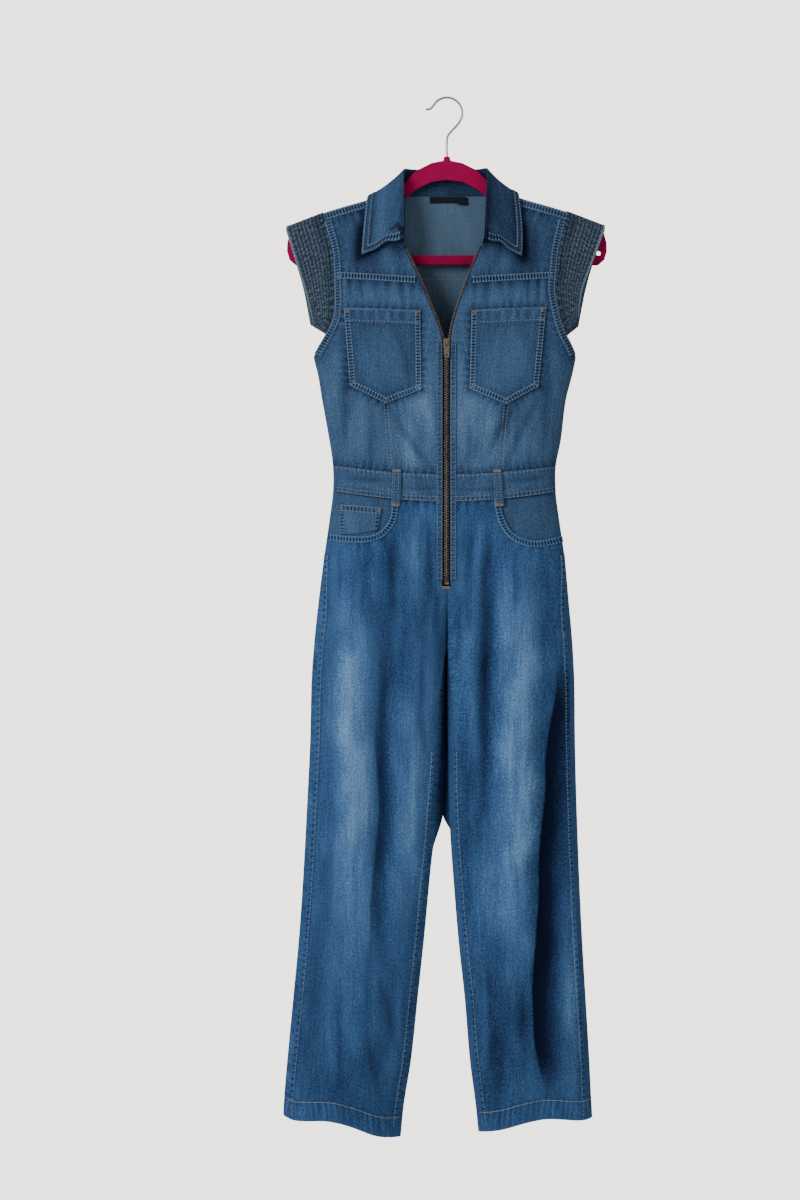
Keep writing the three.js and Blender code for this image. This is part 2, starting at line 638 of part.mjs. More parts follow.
// Four given values read at a share from the first to the last.
function alongFour(values, share) {
  const rows = values.map((value, i) => ({ share: i / 3, value }));
  return read(rows, "share", share, "value");
}

function sleeve(left) {
  const form = SLEEVE[side(left)];
  const way = left ? -1 : 1;
  const folded = 0.14; // share of the way from the top to a corner that lies on the fold
  const outward = new THREE.Vector3(way * 0.2, 0, 1);
  const face = (u, v) => {
    const down = Math.abs(2 * v - 1);
    const isFront = v < 0.5;
    const flap = Math.max(0, (down - folded) / (1 - folded));
    const topOf = (x) => shoulderTop(x) - SHOULDER_ROUND;
    const seamZ = alongFour([topOf(ARMHOLE[0][side(left)]), ...form.seamZ.slice(1)], flap);
    const seam = { x: read(ARMHOLE, "z", seamZ, side(left)) + way * SLEEVE_SEAM, z: seamZ };
    const edgeX = isFront ? form.frontX : form.backX;
    const edgeZ = isFront ? form.frontZ : form.backZ;
    const edge = {
      x: alongFour(edgeX, flap),
      z: alongFour([topOf(edgeX[0]), ...edgeZ.slice(1)], flap),
    };
    const x = lerp(seam.x, edge.x, u);
    const bow = topOf(x) - lerp(topOf(seam.x), topOf(edge.x), u);
    const z = lerp(seam.z, edge.z, u) + bow * (1 - flap) ** 2;
    if (flap === 0) {
      const bend = (Math.PI / 2) * (1 - down / folded);
      const out = SHOULDER_ROUND * Math.cos(bend);
      return new THREE.Vector3(x, isFront ? -out : out, z + SHOULDER_ROUND * Math.sin(bend));
    }
    const atSeam = Math.abs(bodyAt(seam.x, seam.z, isFront, left).y);
    const swing = 1 - Math.exp(-Math.max(0, topOf(x) - z) / SLEEVE_FALL);
    const atEdge = lerp(SHOULDER_ROUND, isFront ? SLEEVE_OUT.front : SLEEVE_OUT.back, swing);
    const out = lerp(atSeam, atEdge, smooth(u * 1.2));
    return new THREE.Vector3(x, isFront ? -out : out, z);
  };
  const columns = RIBS * 2;
  const lift = (u) => RIB_HIGH * (Math.round(u * columns) % 2);
  const half = [0, 0.12, 0.24, 0.35, 0.43, 0.465, 0.5];
  const along = [...half, ...half.slice(0, -1).reverse().map((v) => 1 - v)];
  return wall(face, columns, along.length - 1, {
    front: outward, along, lift, thick: (u) => CLOTH + lift(u),
  });
}

// Collar: a stand that rises from the neck seam to the roll, and a fall that lies outside it.
// Stations run from the left front end round the back of the neck to the middle.
const COLLAR_THICK = 1.6;
const BELLY = 3; // how far the fall stands out between the roll and its edge
const COLLAR = [
  { base: [-61.4, -22, -205.5], roll: [-60.5, -33, -200], edge: [-120, -26, -222] },
  { base: [-67.4, -17, -180], roll: [-60, -31, -170], edge: [-118, -22, -196] },
  { base: [-72.3, -10.6, -152], roll: [-60, -24, -134], edge: [-115.5, -16, -168] },
  { base: [-74.4, -4, -132], roll: [-60, -11, -104], edge: [-112, -9, -141.5] },
  { base: [-72, 5.8, -133.4], roll: [-57, 2, -97.5], edge: [-104, 8, -136] },
  { base: [-52, 7.8, -135.6], roll: [-42, 12, -97], edge: [-72, 20, -141] },
  { base: [0, 9.1, -135.6], roll: [0, 16, -96.5], edge: [0, 27, -147] },
];
// The right front end lies nearer the middle than the left one.
const COLLAR_RIGHT = [
  { base: [49.4, -23, -205.5], roll: [52, -33, -200], edge: [105, -26, -224] },
  { base: [61.4, -18, -180], roll: [53.5, -31, -170], edge: [106, -22, -197] },
  { base: [70.3, -11, -152], roll: [54.5, -24, -134], edge: [104.5, -16, -166] },
  { base: [74.2, -4, -132], roll: [56, -11, -103], edge: [101, -9, -137.5] },
  { base: [72, 5.8, -133.4], roll: [54, 2, -96.5], edge: [95, 8, -133] },
  { base: [52, 7.8, -135.6], roll: [41, 12, -96.5], edge: [70, 20, -140] },
];

function collar() {
  const stations = [...COLLAR, ...[...COLLAR_RIGHT].reverse()];
  const curve = (name) =>
    new THREE.CatmullRomCurve3(stations.map((s) => new THREE.Vector3(...s[name])), false, "catmullrom", 0.5);
  const curves = { base: curve("base"), roll: curve("roll"), edge: curve("edge") };
  const rolled = 0.35; // share of the collar's width that is the stand
  const face = (u, v) => {
    const base = curves.base.getPoint(u);
    const roll = curves.roll.getPoint(u);
    const edge = curves.edge.getPoint(u);
    if (v < rolled) {
      const t = v / rolled;
      const lean = roll.clone().sub(base).multiplyScalar(t);
      return base.add(lean);
    }
    const t = (v - rolled) / (1 - rolled);
    const out = roll.lerp(edge, t);
    const belly = edge.sub(curves.roll.getPoint(u)).cross(curves.roll.getTangent(u)).normalize();
    return out.addScaledVector(belly, BELLY * Math.sin(Math.PI * t) ** 0.8);
  };
  const along = [0, 0.17, 0.31, 0.35, 0.39, 0.52, 0.68, 0.84, 1];
  return wall(face, 24, along.length - 1, {
    front: new THREE.Vector3(0, 1, 0.6), along, thick: COLLAR_THICK,
  });
}

// Zip: a woven tape and a row of teeth on each side, a slider, its pull tab and the stop.

const frontEdge = (left, z) => read(FRONT_EDGE, "z", Math.max(z, -560), side(left));
const zipPoint = (x, z) => bodyAt(x, z, true, x < ZIP_X);

function zipTape(left) {
  const way = left ? -1 : 1;
  const face = (u, v) => {
    const z = lerp(TAPE_FOOT, COLLAR_END - 3, v);
    const closedX = ZIP_X + way * SEAM;
    const openX = frontEdge(left, z) - way * TAPE_INSET;
    const parting = smooth((z - SLIDER_TOP - 2) / 14);
    const x = lerp(closedX, openX, parting);
    return zipPoint(x + way * TAPE_WIDE * u, z);
  };
  return wall(face, 2, 26, { front: FRONT, lift: -(CLOTH + UNDER), thick: TAPE });
}

function teethStrip(fromX, toX, foot, top, rows) {
  const face = (u, v) => {
    const z = lerp(foot, top, v);
    return zipPoint(lerp(fromX(z), toX(z), u), z);
  };
  return wall(face, 1, rows, { front: FRONT, lift: CHAIN_PROUD, thick: CHAIN_THICK });
}

function closedTeeth() {
  const foot = STOP_TOP + TEETH_END;
  const top = SLIDER_TOP - SLIDER.high - TEETH_END;
  return teethStrip(() => ZIP_X - CHAIN_HALF, () => ZIP_X + CHAIN_HALF, foot, top, 18);
}

function openTeeth(left) {
  const way = left ? -1 : 1;
  const inner = (z) => frontEdge(left, z) - way * TEETH.inner;
  const outer = (z) => frontEdge(left, z) - way * TEETH.outer;
  return teethStrip(inner, outer, SLIDER_TOP + 0.6, COLLAR_END - 6, 10);
}

function roundedPlate(halfWide, foot, top, corner) {
  const shape = new THREE.Shape();
  shape.moveTo(corner - halfWide, foot);
  shape.absarc(halfWide - corner, foot + corner, corner, -Math.PI / 2, 0, false);
  shape.absarc(halfWide - corner, top - corner, corner, 0, Math.PI / 2, false);
  shape.absarc(corner - halfWide, top - corner, corner, Math.PI / 2, Math.PI, false);
  shape.absarc(corner - halfWide, foot + corner, corner, Math.PI, 1.5 * Math.PI, false);
  return shape;
}

const SLIDER_Y = zipPoint(ZIP_X, SLIDER_TOP - 6).y; // the cloth's face behind the slider
const TAB = { half: 3.8, long: 21, thick: 1.3, axisOut: 3.55 };
const TAB_AXIS = new THREE.Vector3(ZIP_X, SLIDER_Y - TAB.axisOut, SLIDER_TOP - 5.5);

// The slider's body in two halves round the teeth's end, with a hoop that holds the tab.
function slider() {
  const front = SLIDER_Y - CHAIN_PROUD - 1.2;
  const foot = SLIDER_TOP - SLIDER.high;
  const plate = roundedPlate(SLIDER.half, foot, SLIDER_TOP, 2.2);
  const body = solid(frontPrism(plate, front, front + 1.5, 3));
  const post = roundedPlate(SLIDER.crownHalf, SLIDER_TOP - 5, SLIDER_TOP - 1, 0.8);
  const neck = solid(frontPrism(post, front + 1, front + SLIDER.thick, 2));
  const hoop = new THREE.Shape();
  hoop.moveTo(-2, SLIDER_TOP - 1.5);
  hoop.lineTo(SLIDER.crownOut - 1, SLIDER_TOP - 1.5);
  hoop.lineTo(SLIDER.crownOut, SLIDER_TOP - 3);
  hoop.lineTo(SLIDER.crownOut, SLIDER_TOP - 8);
  hoop.lineTo(SLIDER.crownOut - 1, SLIDER_TOP - 9.5);
  hoop.lineTo(-2, SLIDER_TOP - 9.5);
  const eye = new THREE.Path();
  eye.moveTo(0.7, SLIDER_TOP - 3);
  eye.lineTo(0.7, SLIDER_TOP - 8);
  eye.lineTo(SLIDER.crownOut - 1, SLIDER_TOP - 8);
  eye.lineTo(SLIDER.crownOut - 1, SLIDER_TOP - 3);
  hoop.holes.push(eye);
  const crown = new THREE.ExtrudeGeometry(hoop, { depth: SLIDER.crownHalf * 2, bevelEnabled: false });
  crown.applyMatrix4(new THREE.Matrix4().makeBasis(
    new THREE.Vector3(0, -1, 0), new THREE.Vector3(0, 0, 1), new THREE.Vector3(-1, 0, 0)));
  crown.translate(SLIDER.crownHalf, front + 0.2, 0);
  const made = geometryOf(body.add(neck).add(solid(crown)));
  made.translate(ZIP_X, 0, 0);
  return made;
}

// The tab's top bar lies in the hoop, and the hoop passes through the slot below the bar.
function pullTab() {
  const axis = TAB_AXIS;
  const plate = roundedPlate(TAB.half, axis.z - TAB.long, axis.z + 0.65, 1.6);
  const slot = roundedPlate(2, axis.z - 5.6, axis.z - 0.75, 0.7);
  const eyelet = roundedPlate(1.4, axis.z - TAB.long + 1.8, axis.z - TAB.long + 4.8, 1.3);
  plate.holes.push(slot, eyelet);
  const made = frontPrism(plate, axis.y - TAB.thick / 2, axis.y + TAB.thick / 2, 3);
  made.translate(ZIP_X, 0, 0);
  return made;
}

function zipStop() {
  const y = zipPoint(ZIP_X, STOP_TOP).y;
  const plate = roundedPlate(CHAIN_HALF, STOP_TOP - 2.6, STOP_TOP, 0.6);
  const made = frontPrism(plate, y - 0.4, y + 1.3, 2);
  made.translate(ZIP_X, 0, 0);
  return made;
}

// The woven label at the back of the neck, blank
function neckLabel() {
  const face = (u, v) => bodyAt(lerp(-24, 26, u), lerp(-145, -136.5, v), false);
  return wall(face, 4, 1, { front: BACK, lift: -(CLOTH + 0.4), thick: 1 });
}

// The hanger: one flat moulding with an arched neck, sloping arms, round ends and a bar

const ARM = [
  { x: 0, top: -87, foot: -114 },
  { x: 22, top: -90.5, foot: -117 },
  { x: 41, top: -100, foot: -126 },
  { x: 55, top: -112.5, foot: -137 },
  { x: 66, top: -126.5, foot: -147 },
  { x: 80, top: -137, foot: -153 },
];
const BAR = { top: -220, foot: -234.5 };
const BOSS = { half: 4, top: -81.5 };
const EDGE = 1.5; // the moulding's slanted edge
const EYE = { x: 212.5, z: -217, radius: 3.6 }; // the small hole in each round end

function hanger() {
  const armTop = (x) => shoulderTop(x) - ARM_BELOW;
  const shape = new THREE.Shape();
  const upper = [
    [BOSS.half, BOSS.top], [BOSS.half + 1, -87],
    ...ARM.slice(1).map((row) => [row.x, row.top]),
    ...[113, 150, 175, 200].map((x) => [x, armTop(x)]),
    [213, -178.5], [220, -187], [224, -202], [224.5, -214], [221, -226], [212, -234],
  ];
  const both = [...upper, ...[...upper].reverse().map(([x, z]) => [-x, z])];
  shape.setFromPoints(both.map(([x, z]) => new THREE.Vector2(x, z)));
  const lower = [
    [0, ARM[0].foot], ...ARM.slice(1).map((row) => [row.x, row.foot]),
    [113, -162], [160, -176], [192, -192], [201, -204], [200, -214], [190, BAR.top],
  ];
  const gap = new THREE.Shape();
  gap.setFromPoints([
    ...lower.map(([x, z]) => new THREE.Vector2(x, z)),
    ...[...lower].reverse().slice(0, -1).map(([x, z]) => new THREE.Vector2(-x, z)),
  ]);
  const behind = HANGER_THICK / 2;
  const rounded = new THREE.ExtrudeGeometry(shape, {
    depth: HANGER_THICK - 2 * EDGE, bevelThickness: EDGE, bevelSize: EDGE, bevelOffset: -EDGE,
    bevelSegments: 1,
  });
  rounded.rotateX(Math.PI / 2);
  rounded.translate(0, behind - EDGE, 0);
  let moulding = solid(rounded).subtract(
    solid(frontPrism(gap, -behind - 1, behind + 1)));
  for (const way of [-1, 1]) {
    const eye = new THREE.Shape();
    eye.absarc(way * EYE.x, EYE.z, EYE.radius, 0, 2 * Math.PI, false);
    moulding = moulding.subtract(solid(frontPrism(eye, -behind - 1, behind + 1, 5)));
  }
  return geometryOf(moulding);
}

const WIRE = 1.6; // radius of the hook's wire
const HOOK_RADIUS = 21.6;

function hook() {
  const middle = WIRE - HOOK_RADIUS;
  const turn = (degrees) => {
    const a = THREE.MathUtils.degToRad(degrees);
    return new THREE.Vector3(HOOK_RADIUS * Math.cos(a), 0, middle + HOOK_RADIUS * Math.sin(a));
  };
  const route = new THREE.CatmullRomCurve3([
    new THREE.Vector3(0, 0, BOSS.top + 0.3), new THREE.Vector3(0, 0, -62),
    new THREE.Vector3(1, 0, -53), new THREE.Vector3(7, 0, -45), new THREE.Vector3(14, 0, -37.5),
    ...[-20, 5, 30, 55, 80, 105, 130, 150].map(turn),
    new THREE.Vector3(-22.5, 0, -13.5), new THREE.Vector3(-26, 0, -15), new THREE.Vector3(-29.5, 0, -14.6),
  ]);
  const round = new THREE.Shape();
  round.absarc(0, 0, WIRE, 0, 2 * Math.PI, false);
  return new THREE.ExtrudeGeometry(round, {
    steps: 44, curveSegments: 4, extrudePath: route, bevelEnabled: false,
  });
}

// Colours
const denim = { color: 0x2f5580, roughness: 0.9 };
const paleDenim = { color: 0x456e98, roughness: 0.9 };
const quilted = { color: 0x35495c, roughness: 0.95 };
const brass = { color: 0x7a5c48, roughness: 0.45, metalness: 0.9 };
const tapeBlack = { color: 0x0b0e16, roughness: 0.9 };
const plastic = { color: 0xa80046, roughness: 0.7 };
const steel = { color: 0xb8b8b8, roughness: 0.3, metalness: 1 };

const jumpsuit = new THREE.Group();
const add = (name, geometry, finish) => {
  const mesh = new THREE.Mesh(geometry, new THREE.MeshStandardMaterial(finish));
  mesh.name = name;
  jumpsuit.add(mesh);
};

for (const left of [true, false]) {
  const name = side(left);
  add(`front_yoke_${name}`, yokeFront(left), denim);
  add(`front_bodice_${name}`, bodiceFront(left), denim);
  add(`sleeve_${name}`, sleeve(left), quilted);
  add(`waistband_front_${name}`, waistband(true, left), denim);
  add(`leg_front_${name}`, legFront(left), denim);
  add(`leg_back_${name}`, legBack(left), denim);
  add(`pocket_facing_${name}`, pocketFacing(left), denim);
  add(`chest_pocket_${name}`, chestPocket(left), paleDenim);
  add(`zip_tape_${name}`, zipTape(left), tapeBlack);
  add(`zip_teeth_${name}`, openTeeth(left), brass);
}
add("back_yoke", yokeBack(), denim);
add("back_bodice", bodiceBack(), denim);
add("waistband_back", waistband(false, true), denim);
add("coin_pocket", coinPocket(), paleDenim);
for (const loop of LOOPS) add(loop.name, beltLoop(loop), paleDenim);
add("collar", collar(), denim);
add("zip_teeth_closed", closedTeeth(), brass);
add("zip_slider", slider(), brass);
add("zip_pull_tab", pullTab(), brass);
add("zip_stop", zipStop(), brass);
add("neck_label", neckLabel(), tapeBlack);
add("hanger", hanger(), plastic);
add("hanger_hook", hook(), steel);

export default jumpsuit;
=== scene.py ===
import math

import bmesh
import bpy
import numpy as np
from mathutils import Matrix, Vector


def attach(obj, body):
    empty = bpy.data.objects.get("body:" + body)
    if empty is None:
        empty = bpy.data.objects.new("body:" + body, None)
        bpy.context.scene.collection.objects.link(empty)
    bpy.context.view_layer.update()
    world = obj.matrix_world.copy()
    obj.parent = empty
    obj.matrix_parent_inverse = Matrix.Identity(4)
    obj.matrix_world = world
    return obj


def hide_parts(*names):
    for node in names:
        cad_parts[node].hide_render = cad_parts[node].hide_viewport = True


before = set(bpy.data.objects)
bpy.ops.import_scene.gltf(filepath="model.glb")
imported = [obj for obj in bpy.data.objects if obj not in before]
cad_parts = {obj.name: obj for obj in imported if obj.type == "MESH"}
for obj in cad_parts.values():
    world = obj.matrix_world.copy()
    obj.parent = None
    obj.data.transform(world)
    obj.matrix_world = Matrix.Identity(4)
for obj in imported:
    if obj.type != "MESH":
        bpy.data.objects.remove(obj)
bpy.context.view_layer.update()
MM = 0.001

# The studio: the garment hangs in plain pale air, far above a pale floor. One large soft light
# stands in front on the left, and the camera looks level at about the garment's mid height.
CAMERA_AT = (-0.0658, -4.0, -0.7035)
CAMERA_LENS = 85.5
FLOOR_Z, FLOOR_HALF = -1.95, 1.6
LIGHTS_AIM = (0, 0, -0.75)
WALL_GLOW, FILL_GLOW = 3.6, 0.36  # the air as the camera sees it, and as it lights the cloth


class Wire:
    """A value between two nodes. Sums and products of wires add Math nodes."""

    def __init__(self, finish, socket):
        self.finish, self.socket = finish, socket

    def math(self, operation, *values):
        return self.finish.node("Math", {"operation": operation}, dict(enumerate(values)))

    def __add__(self, other):
        return self.math("ADD", self, other)

    __radd__ = __add__

    def __sub__(self, other):
        return self.math("SUBTRACT", self, other)

    def __rsub__(self, other):
        return self.math("SUBTRACT", other, self)

    def __mul__(self, other):
        return self.math("MULTIPLY", self, other)

    __rmul__ = __mul__

    def size(self):
        return self.math("ABSOLUTE", self)

    def sine(self):
        return self.math("SINE", self)

    def clamped(self):
        return self.math("MAXIMUM", self.math("MINIMUM", self, 1.0), 0.0)


class Finish:
    """A material under construction."""

    def __init__(self, name):
        self.material = bpy.data.materials.new(name)
        self.material.use_nodes = True
        self.tree = self.material.node_tree
        self.tree.nodes.clear()

    def node(self, kind, settings=None, sockets=None, out=0):
        made = self.tree.nodes.new("ShaderNode" + kind)
        for key, value in (settings or {}).items():
            if key == "stops":
                ramp = made.color_ramp.elements
                while len(ramp) < len(value):
                    ramp.new(1.0)
                for stop, (place, colour) in zip(ramp, value):
                    stop.position, stop.color = place, colour
            else:
                setattr(made, key, value)
        for key, value in (sockets or {}).items():
            if isinstance(value, Wire):
                self.tree.links.new(value.socket, made.inputs[key])
            else:
                made.inputs[key].default_value = value
        return Wire(self, made.outputs[out]) if made.outputs else None

    def surface(self, **sockets):
        named = {key.replace("_", " ").title().replace("Ior", "IOR"): value
                 for key, value in sockets.items()}
        shader = self.node("BsdfPrincipled", None, named)
        self.node("OutputMaterial", None, {"Surface": shader})
        return self.material

    def noise(self, vector, scale, detail=2.0, roughness=0.5):
        return self.node("TexNoise", None, {
            "Vector": vector, "Scale": scale, "Detail": detail, "Roughness": roughness})

    def scaled(self, vector, scale, turn=0.0):
        return self.node("Mapping", None, {
            "Vector": vector, "Scale": scale, "Rotation": (0.0, 0.0, turn)})

    def bump(self, height, depth, strength=1.0):
        return self.node("Bump", None, {"Height": height, "Distance": depth, "Strength": strength})

    def shade(self, stops, at):
        """A colour that runs from stop to stop: each is its place and a colour for dyed()."""
        dyes = [(place, dyed(*colour)) for place, *colour in stops]
        return self.node("ValToRGB", {"stops": dyes}, {"Fac": at})

    def yarns(self, weave, across, along, detail, roughness=0.5):
        """Noise that is drawn out along the cloth's yarns."""
        return self.noise(self.scaled(weave, (across, along, 1.0)), 1.0, detail, roughness)

    def place(self):
        return self.node("TexCoord", None, None, out="Object")

    def layer(self, name, out="Fac"):
        return self.node("Attribute", {"attribute_name": name}, None, out=out)

    def split(self, vector):
        apart = self.node("SeparateXYZ", None, {0: vector}).socket.node
        return [Wire(self, socket) for socket in apart.outputs]


def dyed(red, green, blue):
    """A colour as it is mixed on a screen, from 0 to 255, for a shader."""
    def linear(c):
        c /= 255
        return c / 12.92 if c <= 0.04045 else ((c + 0.055) / 1.055) ** 2.4
    return (linear(red), linear(green), linear(blue), 1.0)


def meshed(name, bm):
    mesh = bpy.data.meshes.new(name)
    bm.to_mesh(mesh)
    bm.free()
    return mesh


def linked(name, data):
    made = bpy.data.objects.new(name, data)
    bpy.context.scene.collection.objects.link(made)
    return made


def make_floor():
    bm = bmesh.new()
    bmesh.ops.create_grid(bm, x_segments=2, y_segments=2, size=FLOOR_HALF)
    bmesh.ops.translate(bm, verts=bm.verts, vec=(0, 0, FLOOR_Z))
    floor = linked("studio_floor", meshed("studio_floor", bm))
    paint = Finish("pale_floor")
    tone = paint.noise(paint.place(), 3.0, 4.0)
    floor.data.materials.append(paint.surface(
        base_color=paint.shade([(0.3, 222, 219, 214), (0.7, 230, 228, 223)], tone),
        roughness=0.8))


def make_studio():
    scene = bpy.context.scene
    eye = linked("camera", bpy.data.cameras.new("camera"))
    eye.location = CAMERA_AT
    eye.rotation_euler = (math.pi / 2, 0, 0)
    eye.data.lens = CAMERA_LENS
    eye.data.sensor_width = 36
    eye.data.sensor_fit = "AUTO"
    eye.data.clip_end = 100
    scene.camera = eye
    for name, place, size, power in (
        ("soft_light_left", (-2.3, -2.3, 0.5), 1.5, 84),
        ("soft_light_right", (2.6, -2.2, -0.5), 2.2, 14),
        ("soft_light_behind", (0.9, 2.8, 0.5), 2.0, 45),
    ):
        lamp = linked(name, bpy.data.lights.new(name, "AREA"))
        lamp.data.size = size
        lamp.data.energy = power
        lamp.location = place
        lamp.rotation_euler = (Vector(LIGHTS_AIM) - Vector(place)).to_track_quat("-Z", "Y").to_euler()
    air = bpy.data.worlds.new("studio_air")
    scene.world = air
    air.use_nodes = True
    nodes, links = air.node_tree.nodes, air.node_tree.links
    nodes.clear()
    seen, fill = nodes.new("ShaderNodeBackground"), nodes.new("ShaderNodeBackground")
    mix = nodes.new("ShaderNodeMixShader")
    path, output = nodes.new("ShaderNodeLightPath"), nodes.new("ShaderNodeOutputWorld")
    for glow, colour, strength in ((seen, dyed(233, 230, 225), WALL_GLOW),
                                   (fill, (1.0, 0.985, 0.965, 1), FILL_GLOW)):
        glow.inputs["Color"].default_value = colour
        glow.inputs["Strength"].default_value = strength
    links.new(path.outputs["Is Camera Ray"], mix.inputs[0])
    links.new(fill.outputs[0], mix.inputs[1])
    links.new(seen.outputs[0], mix.inputs[2])
    links.new(mix.outputs[0], output.inputs["Surface"])


make_floor()
make_studio()


# The hanger: one moulding in a strong magenta plastic with a matt, faintly mottled skin, and a
# bent steel wire whose foot is moulded into the middle of the arch.
def moulded_plastic():
    finish = Finish("magenta_plastic")
    place = finish.place()
    mottle = finish.noise(place, 60.0, 4.0)
    grain = finish.noise(place, 900.0, 3.0)
    to_side, _, up = finish.split(place)
    # Painted shade: the bar inside the neck is made darker than the arch.
    painted_neck_shade = ((-0.212 - up) * 90.0).clamped() * ((0.15 - to_side.size()) * 60.0).clamped()
    shade = finish.shade([(0.0, 66, 0, 36), (0.28, 142, 0, 62), (0.72, 170, 0, 78)],
                         (mottle * 0.5 + grain * 0.2 + 0.18) * (1.0 - painted_neck_shade * 0.55))
    return finish.surface(
        base_color=shade, roughness=0.6 + mottle * 0.16, specular_ior_level=0.1,
        normal=finish.bump(grain + mottle * 2.0, 0.0002, 0.6))


def drawn_steel():
    finish = Finish("hook_steel")
    place = finish.place()
    lines = finish.noise(finish.scaled(place, (400.0, 400.0, 90.0)), 1.0, 3.0)
    haze = finish.noise(place, 45.0, 3.0)
    shade = finish.shade([(0.3, 158, 158, 158), (0.7, 196, 195, 192)], lines * 0.5 + haze * 0.5)
    return finish.surface(
        base_color=shade, metallic=1.0, roughness=0.30 + haze * 0.2,
        normal=finish.bump(lines, 0.00005, 0.3))


HOOK_RADIUS, WIRE_RADIUS = 21.6, 1.6
HOOK_FOOT = [(0, -81.2), (0, -62), (1, -53), (7, -45), (14, -37.5)]
HOOK_BENDS = (-20, 5, 30, 55, 80, 105, 130, 150)  # places round the bend, in degrees
HOOK_END = [(-22.5, -13.5), (-26, -15), (-29.5, -14.6)]


def bent_hook():
    """The wire, from its foot in the moulding to its free end, bent round and drawn smooth."""
    middle = WIRE_RADIUS - HOOK_RADIUS
    bends = [math.radians(a) for a in HOOK_BENDS]
    round_top = [(HOOK_RADIUS * math.cos(a), middle + HOOK_RADIUS * math.sin(a)) for a in bends]
    points = HOOK_FOOT + round_top + HOOK_END
    wire = bpy.data.curves.new("hook_wire", "CURVE")
    wire.dimensions = "3D"
    wire.bevel_depth = WIRE_RADIUS * MM
    wire.bevel_resolution = 3
    wire.resolution_u = 8
    wire.use_fill_caps = True
    line = wire.splines.new("BEZIER")
    line.bezier_points.add(len(points) - 1)
    for knot, (x, z) in zip(line.bezier_points, points):
        knot.co = (x * MM, 0, z * MM)
        knot.handle_left_type = knot.handle_right_type = "AUTO"
    bent = bpy.data.objects.new("bent_wire", wire)
    mesh = bpy.data.meshes.new_from_object(bent)
    bpy.data.objects.remove(bent)
    mesh.polygons.foreach_set("use_smooth", [True] * len(mesh.polygons))
    mesh.materials.clear()
    mesh.materials.append(drawn_steel())
    hook = linked("hanger_hook_wire", mesh)
    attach(hook, "garment")
    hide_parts("hanger_hook")


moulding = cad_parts["hanger"].data
moulding.materials.clear()
moulding.materials.append(moulded_plastic())
bent_hook()


# The denim: mid-weight indigo twill, garment washed, so it is darkest along the outer legs and palest on
# the thighs. It is darker in the valleys and paler on the ridges, partly by the wash and partly by
# painted shade and painted light. Each panel hangs on the shape that these tables give.
CLOTH = 1.2  # thickness of one visible layer
SHOULDER_ROUND, SHOULDER_FALL, ROUND = 5.8, 70, 0.9
CROTCH, FORK, WAIST_HALF, UNDERARM = -765, 80, 152, -363
WAIST_TOP, WAIST_FOOT = (-528, -516), (-566, -552)  # at the middle of the front, at the sides
YOKE_ARMHOLE, YOKE_ZIP, YOKE_BACK = -253, -261, -257
SHOULDER_SEAM = 11
NECK_CORNER, NECK_BACK = 75.5, -136

OUTLINE = np.array([  # height, left, right, depth in front, depth behind
    (-120, -190, 184, 22, 13), (-200, -190, 184, 28, 15), (-260, -190, 184, 33, 17),
    (-330, -189, 183, 36, 19), (-363, -187, 181, 35.5, 19), (-388, -181, 176, 34, 19),
    (-424, -175, 167, 31, 18), (-480, -165, 160, 28, 17), (-516, -160, 153, 27, 17),
    (-552, -160, 153, 27, 17), (-592, -165, 158, 30, 19), (-648, -173, 166, 34, 22),
    (-704, -180, 171, 36, 23), (-760, -186, 176, 37, 23), (-816, -190, 179, 36, 22),
    (-900, -192, 180, 34, 21), (-984, -196, 182, 33, 21), (-1095, -202, 186, 33, 21),
    (-1180, -208, 190, 33, 21), (-1264, -216, 195, 34, 21), (-1348, -224, 200, 34, 22),
    (-1410, -229, 203, 35, 23), (-1470, -231, 207, 35, 23)])
LEG_INSIDE = np.array([  # height, left, right
    (-765, -1.2, 0.6), (-800, -3, 0.6), (-844, -5, 0.8), (-900, -8, 1.5), (-984, -14, 2.5),
    (-1040, -18.5, 5), (-1095, -24, 9), (-1180, -32, 16), (-1264, -41, 25), (-1348, -50, 32),
    (-1410, -60, 40), (-1470, -66, 46)])
ARMHOLE = np.array([  # height, left, right
    (-168, -173, 167), (-215, -160, 156), (-243, -158, 153), (-268, -157.5, 150.5),
    (-292, -157, 154), (-314, -160, 159), (-331, -168, 165), (-348, -178, 174),
    (-363, -187, 181)])
FRONT_EDGE = np.array([  # height, left, right
    (-130, -75.5, 75.5), (-152, -73, 71), (-180, -68, 62), (-206, -62, 50), (-234, -49, 38),
    (-262, -36.5, 27), (-290, -25, 17.5), (-318, -14, 9), (-338, -7.6, 5.4),
    (-350, -6.2, 4.2), (-690, -6.2, 4.2)])
SHOULDER = np.array([(75, -131), (113, -142.5), (150, -153), (175, -161), (225, -180)])
HEM_EDGE = np.array([  # share of the way from the outer side to the inner side, left, right
    (0, -1425, -1428), (0.1, -1430, -1430), (0.38, -1429.5, -1426), (0.57, -1437, -1431),
    (0.8, -1451, -1442), (1, -1455, -1448)])

# Folds: from one place to another, half width, height (a valley is below 0), and the tone on it: partly
# the wash, partly painted light on ridges and painted shade in valleys.
FRONT_FOLDS = [
    (-134, -660, -140, -1260, 26, 7, 0.10), (-76, -640, -95, -1280, 18, -8, -0.12),
    (-50, -820, -56, -1180, 18, 3, 0.06), (-74, -600, -70, -720, 16, -4, -0.10),
    (-26, -590, -20, -740, 15, -4, -0.10), (-100, -1200, -128, -1420, 22, 5, 0.02),
    (100, -620, 98, -1230, 28, 8, 0.12), (150, -690, 126, -1430, 18, -11, -0.16),
    (64, -600, 50, -1050, 16, -6, -0.10), (34, -620, 38, -940, 16, 4, 0.08),
    (172, -900, 176, -1420, 16, 5, 0.0), (-48, -432, -26, -515, 16, -3.5, -0.10),
    (96, -434, 42, -515, 18, -3.5, -0.10), (-120, -170, -104, -252, 20, -3, -0.08),
    (112, -170, 104, -252, 20, -3, -0.08),
]
